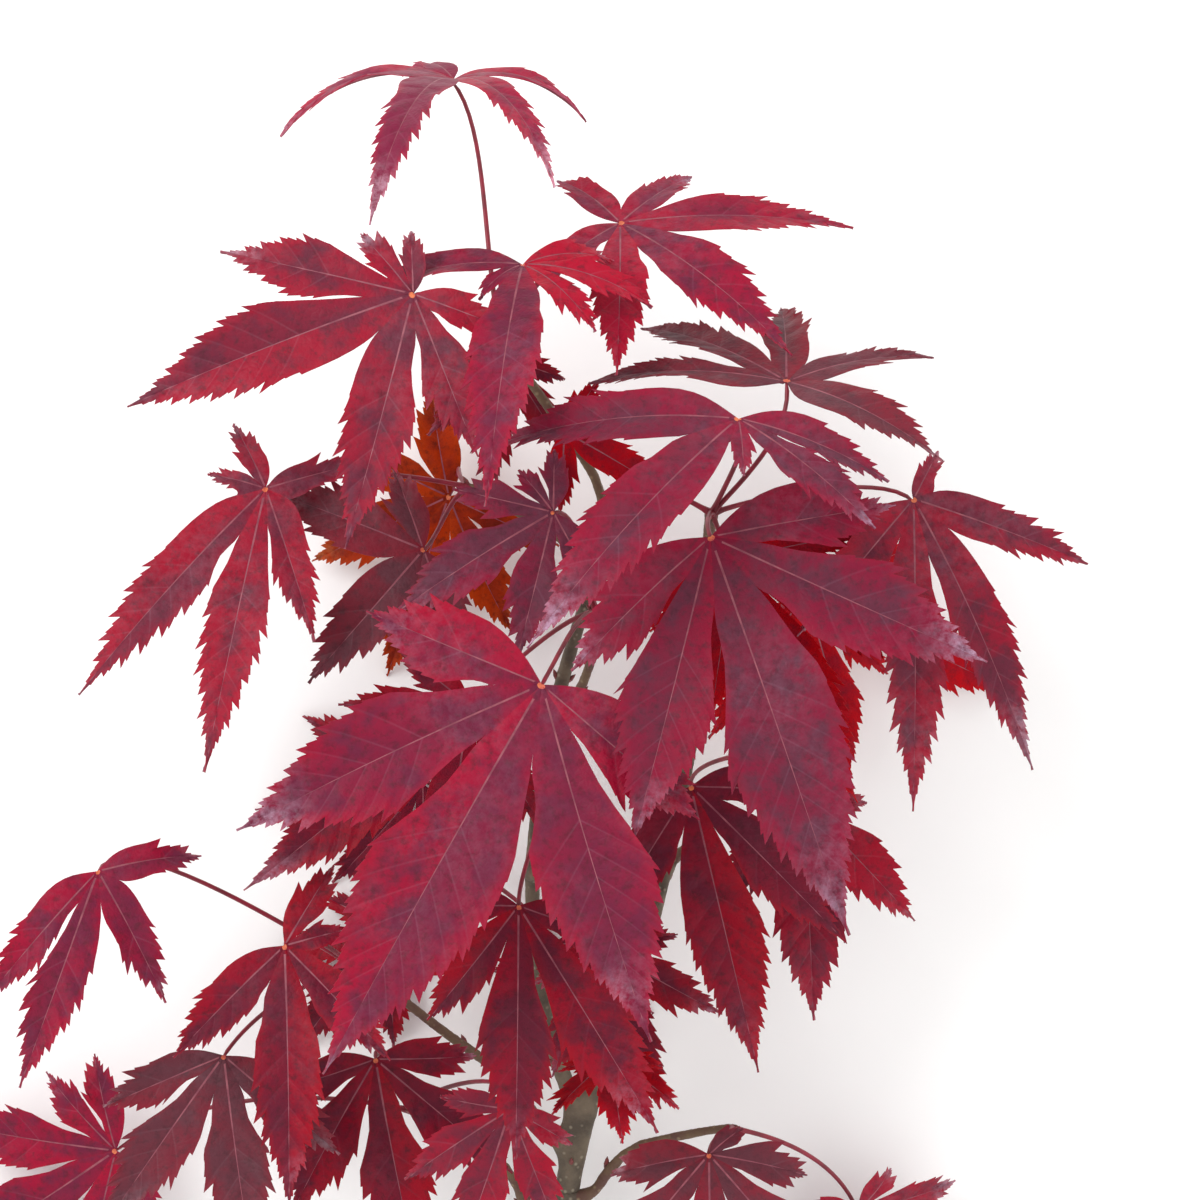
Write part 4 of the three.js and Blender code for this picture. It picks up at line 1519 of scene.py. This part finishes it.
@dataclass
class Wood:
    """Stem, boughs, side twigs and shoots as one body that forks, with a flat cut at its foot."""

    curves: dict[str, Curve]
    shoots: dict[str, Curve]
    offset: np.ndarray
    spacing: float = 5.0  # from joint to joint
    least_joints: int = 3
    fork_clearance: float = 0.6  # least way from a fork to the next joint, in spacings
    fork_room: tuple[float, float] = (1.7, 1.0)  # clear of a parent, in its radii and beyond
    overhang: float = 8.0  # what is grown past the stem's foot and cut off
    old_from: float = 1.5  # radius from which a limb wears old bark
    shoot_girth: tuple[float, float] = (0.92, 1.15)  # of a shoot and of its node, for its limb's
    girth: float = 1.07  # makes up for what rounding takes
    levels: int = 3
    node_swelling: float = 0.16
    node_length: float = 1.2
    rim: tuple[float, float] = (0.3, -0.08)  # the bark's width round the cut, and its step
    relief: float = 0.09
    ridges: Point = (1.5, 0.35, 1.5)  # ridges per millimetre, drawn out along the branch
    fine_ridges: tuple[float, float] = (2.7, 0.5)  # how much finer, and how high
    smooth_foot: tuple[float, float] = (0.3, 4.0)  # where the ridges start, and fade in over
    joints: list[Joint] = field(default_factory=list)

    OLD, YOUNG, CUT = range(3)

    def stations(self, name: str) -> list[float]:
        """Places a limb's joints, those of its side twigs' forks among them.

        Args:
            name: the limb.

        Returns:
            Shares of its length.
        """
        length = self.curves[name].length
        forks = {limb.at for limb in LIMBS.values() if limb.parent == name and limb.at < 1}
        plain = np.linspace(0, 1, max(self.least_joints, round(length / self.spacing) + 1))
        clear = self.fork_clearance * self.spacing / length
        kept = [share for share in plain if all(abs(share - fork) > clear for fork in forks)]
        return sorted({*kept, *forks, 1.0})

    def join(self, place: np.ndarray, radius: float, bark: int, parent: int) -> int:
        """Adds a joint and gives its number."""
        self.joints.append(Joint(place, radius, bark, parent))
        return len(self.joints) - 1

    def grow_limb(self, name: str, last: int) -> dict[tuple[str, float], int]:
        """Sets out one limb's joints, clear of the joint that it leaves.

        Args:
            name: the limb.
            last: number of the joint that it leaves.

        Returns:
            Its joints' numbers by limb and share.
        """
        limb, curve, fork = LIMBS[name], self.curves[name], self.joints[last]
        radii, beyond = self.fork_room
        clear = radii * fork.radius + beyond if limb.parent else 0
        bark = self.OLD if limb.radii[0] > self.old_from else self.YOUNG
        spots = {}
        for share in self.stations(name):
            place = curve.at(share)
            if share < 1 and np.linalg.norm(place - fork.place) < clear:
                continue
            past_node = share * curve.length % NODE_SPACING - NODE_SPACING / 2
            swelling = self.node_swelling * np.exp(-((past_node / self.node_length) ** 2))
            last = self.join(place, limb.radius(share) * (1 + swelling), bark, last)
            spots[(name, share)] = last
        return spots

    def grow(self) -> None:
        """Sets out the skeleton's joints, parents first."""
        stem = self.curves["stem"]
        foot = stem.at(0.0) - stem.tangent(0.0) * self.overhang
        spots = {("", 1.0): self.join(foot, LIMBS["stem"].radii[0], self.OLD, -1)}
        for name, limb in LIMBS.items():
            spots |= self.grow_limb(name, spots[(limb.parent, limb.at)])
        along, at_node = self.shoot_girth
        for name, shoot in self.shoots.items():
            holder = SPRAYS[name].limb
            last = spots[(holder, 1.0)]
            for share in np.linspace(0, 1, max(2, round(shoot.length / self.spacing) + 1))[1:]:
                radius = LIMBS[holder].radius(1) * (along if share < 1 else at_node)
                last = self.join(shoot.at(share), radius, self.YOUNG, last)

    def skeleton(self) -> bpy.types.Object:
        """Draws the skeleton by extruding one corner from joint to joint.

        Returns:
            The skeleton, in millimetres.
        """
        bpy.ops.object.select_all(action="DESELECT")
        bpy.ops.mesh.primitive_plane_add(size=1.0, location=self.joints[0].place.tolist())
        bone = bpy.context.active_object
        bone.name = "wood"
        bpy.ops.object.mode_set(mode="EDIT")
        bpy.ops.mesh.merge(type="CENTER")
        bpy.ops.object.mode_set(mode="OBJECT")
        bpy.ops.object.mode_set(mode="EDIT")
        mesh = bmesh.from_edit_mesh(bone.data)
        for joint in self.joints[1:]:
            mesh.verts.index_update()
            for corner in mesh.verts:
                corner.select_set(corner.index == joint.parent)
            step = joint.place - self.joints[joint.parent].place
            bpy.ops.mesh.extrude_region_move(TRANSFORM_OT_translate={"value": step.tolist()})
        bpy.ops.object.mode_set(mode="OBJECT")
        bpy.ops.object.transform_apply(location=True, rotation=True, scale=True)
        return bone

    def build(self) -> bpy.types.Object:
        """Grows the skeleton, gives it its girth, rounds it, cuts its foot and ridges its bark.

        Returns:
            The wood.
        """
        self.grow()
        wood = self.skeleton()
        bpy.ops.object.modifier_add(type="SKIN")
        for corner, joint in zip(wood.data.skin_vertices[0].data, self.joints):
            corner.radius = (joint.radius * self.girth, joint.radius * self.girth)
            corner.use_root = joint.parent < 0
        bpy.ops.object.modifier_apply(modifier="Skin")
        bpy.ops.object.modifier_add(type="SUBSURF")
        rounding = wood.modifiers["Subdivision"]
        rounding.levels = rounding.render_levels = self.levels
        bpy.ops.object.modifier_apply(modifier="Subdivision")
        self.cut(wood)
        self.deal_finishes(wood)
        self.ridge(wood)
        wood.data.transform(Matrix.Translation(self.offset.tolist()) @ Matrix.Scale(MM, 4))
        pick_only(wood)
        bpy.ops.object.shade_smooth_by_angle(angle=math.radians(CREASE))
        return settle(wood, list(LIMBS))

    def cut(self, wood: bpy.types.Object) -> None:
        """Cuts the stem's foot flat and rims the cut with bark.

        Args:
            wood: the wood, in millimetres.
        """
        foot = LIMBS["stem"].points[0]
        width, step = self.rim
        pick_only(wood)
        bpy.ops.object.mode_set(mode="EDIT")
        bpy.ops.mesh.select_all(action="SELECT")
        bpy.ops.mesh.bisect(plane_co=foot, plane_no=(0, -1, 0), use_fill=True, clear_outer=True)
        bpy.ops.mesh.inset(thickness=width, depth=step)
        bpy.ops.object.mode_set(mode="OBJECT")

    def deal_finishes(self, wood: bpy.types.Object) -> None:
        """Gives each face the bark of its nearest joint, and the cut its bare wood.

        Args:
            wood: the wood, in millimetres.
        """
        for finish in (OLD_BARK, YOUNG_BARK, CUT_WOOD):
            wood.data.materials.append(finish.material())
        tree = kdtree.KDTree(len(self.joints))
        for number, joint in enumerate(self.joints):
            tree.insert(joint.place.tolist(), number)
        tree.balance()
        near_foot = LIMBS["stem"].points[0][1] + 0.2
        for face in wood.data.polygons:
            cut = face.normal.y < -0.9 and face.center.y < near_foot
            nearest = self.joints[tree.find(face.center)[1]]
            face.material_index = self.CUT if cut else nearest.bark

    def ridge(self, wood: bpy.types.Object) -> None:
        """Ridges the bark along the limbs.

        Args:
            wood: the wood, in millimetres.
        """
        count = len(wood.data.vertices)
        corners, normals = np.empty(3 * count), np.empty(3 * count)
        wood.data.vertices.foreach_get("co", corners)
        wood.data.vertices.foreach_get("normal", normals)
        corners = corners.reshape(-1, 3)
        finer, share = self.fine_ridges
        height = np.array([noise.noise(place) + share * noise.noise(place * finer)
                           for place in map(Vector, corners * self.ridges)])
        start, over = self.smooth_foot
        height *= smoothstep((corners[:, 1] - LIMBS["stem"].points[0][1] - start) / over)
        corners += normals.reshape(-1, 3) * (self.relief * height)[:, None]
        wood.data.vertices.foreach_set("co", corners.ravel())
        wood.data.update()


# ---------------------------------------------------------------- studio


@dataclass(frozen=True)
class Lamp:
    """A square soft light: its place from the aim and its side in metres, and its watts."""

    name: str
    place: Point
    side: float
    power: float

    def hang(self, aim: Vector) -> None:
        """Hangs it so that it faces the aim.

        Args:
            aim: what it lights.
        """
        light = bpy.data.lights.new(self.name, "AREA")
        light.size = self.side
        light.energy = self.power
        holder = bpy.data.objects.new(self.name, light)
        holder.location = aim + Vector(self.place)
        holder.rotation_euler = (aim - holder.location).to_track_quat("-Z", "Y").to_euler()
        bpy.context.collection.objects.link(holder)


@dataclass
class Studio:
    """Pale floor, soft light and a camera straight above the branch."""

    offset: np.ndarray
    aim: tuple[float, float] = (14.0, 178.0)
    camera_height: float = 755.0
    focus_height: float = 55.0  # height of the leaves that fill the view
    view_height: float = 240.0  # what the view spans at that height
    sensor: float = 36.0
    nearest: float = 0.01
    floor_side: float = 6.0
    lamps: tuple[Lamp, ...] = (
        Lamp("key", (-0.75, 0.55, 1.05), 0.9, 12.0),
        Lamp("fill", (0.9, -0.3, 0.9), 1.2, 5.0),
    )
    glow: float = 0.95

    def build(self) -> None:
        """Builds the floor, the lights and the camera."""
        aim = Vector((np.array((*self.aim, 0.0)) * MM + self.offset).tolist())
        self.floor(aim)
        for lamp in self.lamps:
            lamp.hang(aim)
        world = bpy.data.worlds.new("studio")
        world.use_nodes = True
        backdrop = world.node_tree.nodes["Background"]
        backdrop.inputs["Color"].default_value = (1, 1, 1, 1)
        backdrop.inputs["Strength"].default_value = self.glow
        bpy.context.scene.world = world
        bpy.context.scene.view_settings.view_transform = "Standard"
        self.camera(aim)

    def floor(self, aim: Vector) -> None:
        """Lays the floor.

        Args:
            aim: what it lies under.
        """
        bpy.ops.object.select_all(action="DESELECT")
        bpy.ops.mesh.primitive_plane_add(size=self.floor_side, location=(aim.x, aim.y, 0.0))
        floor = bpy.context.active_object
        floor.name = "floor"
        bench = Bench("floor")
        floor.data.materials.append(bench.finish(
            Base_Color=bench.blend(bench.noise(3), linear("fbfbfa"), linear("f8f8f7")),
            Roughness=0.9))

    def camera(self, aim: Vector) -> None:
        """Hangs the camera over the branch, looking straight down.

        Args:
            aim: what it looks at.
        """
        lens = bpy.data.cameras.new("camera")
        lens.sensor_width = self.sensor
        lens.angle = 2 * math.atan(self.view_height / 2 / (self.camera_height - self.focus_height))
        lens.clip_start = self.nearest
        camera = bpy.data.objects.new("camera", lens)
        camera.location = aim + Vector((0, 0, self.camera_height * MM))
        bpy.context.collection.objects.link(camera)
        bpy.context.scene.camera = camera


def main() -> None:
    """Builds the branch and the studio, in order."""
    logging.basicConfig(level=logging.INFO, format="%(name)s: %(message)s")
    palette = Palette()
    offset = frame_offset()
    curves = grow_limbs()
    shoots = {name: shoot_of(spray, curves[spray.limb]) for name, spray in SPRAYS.items()}
    Wood(curves, shoots, offset).build()
    Buds(curves, shoots, offset).build()
    seed = 1
    for name, spray in SPRAYS.items():
        SprayBuilder(name, spray, shoots[name], offset, palette, seed).build()
        seed += len(spray.leaves)
    Studio(offset).build()


if __name__ == "__main__":
    main()
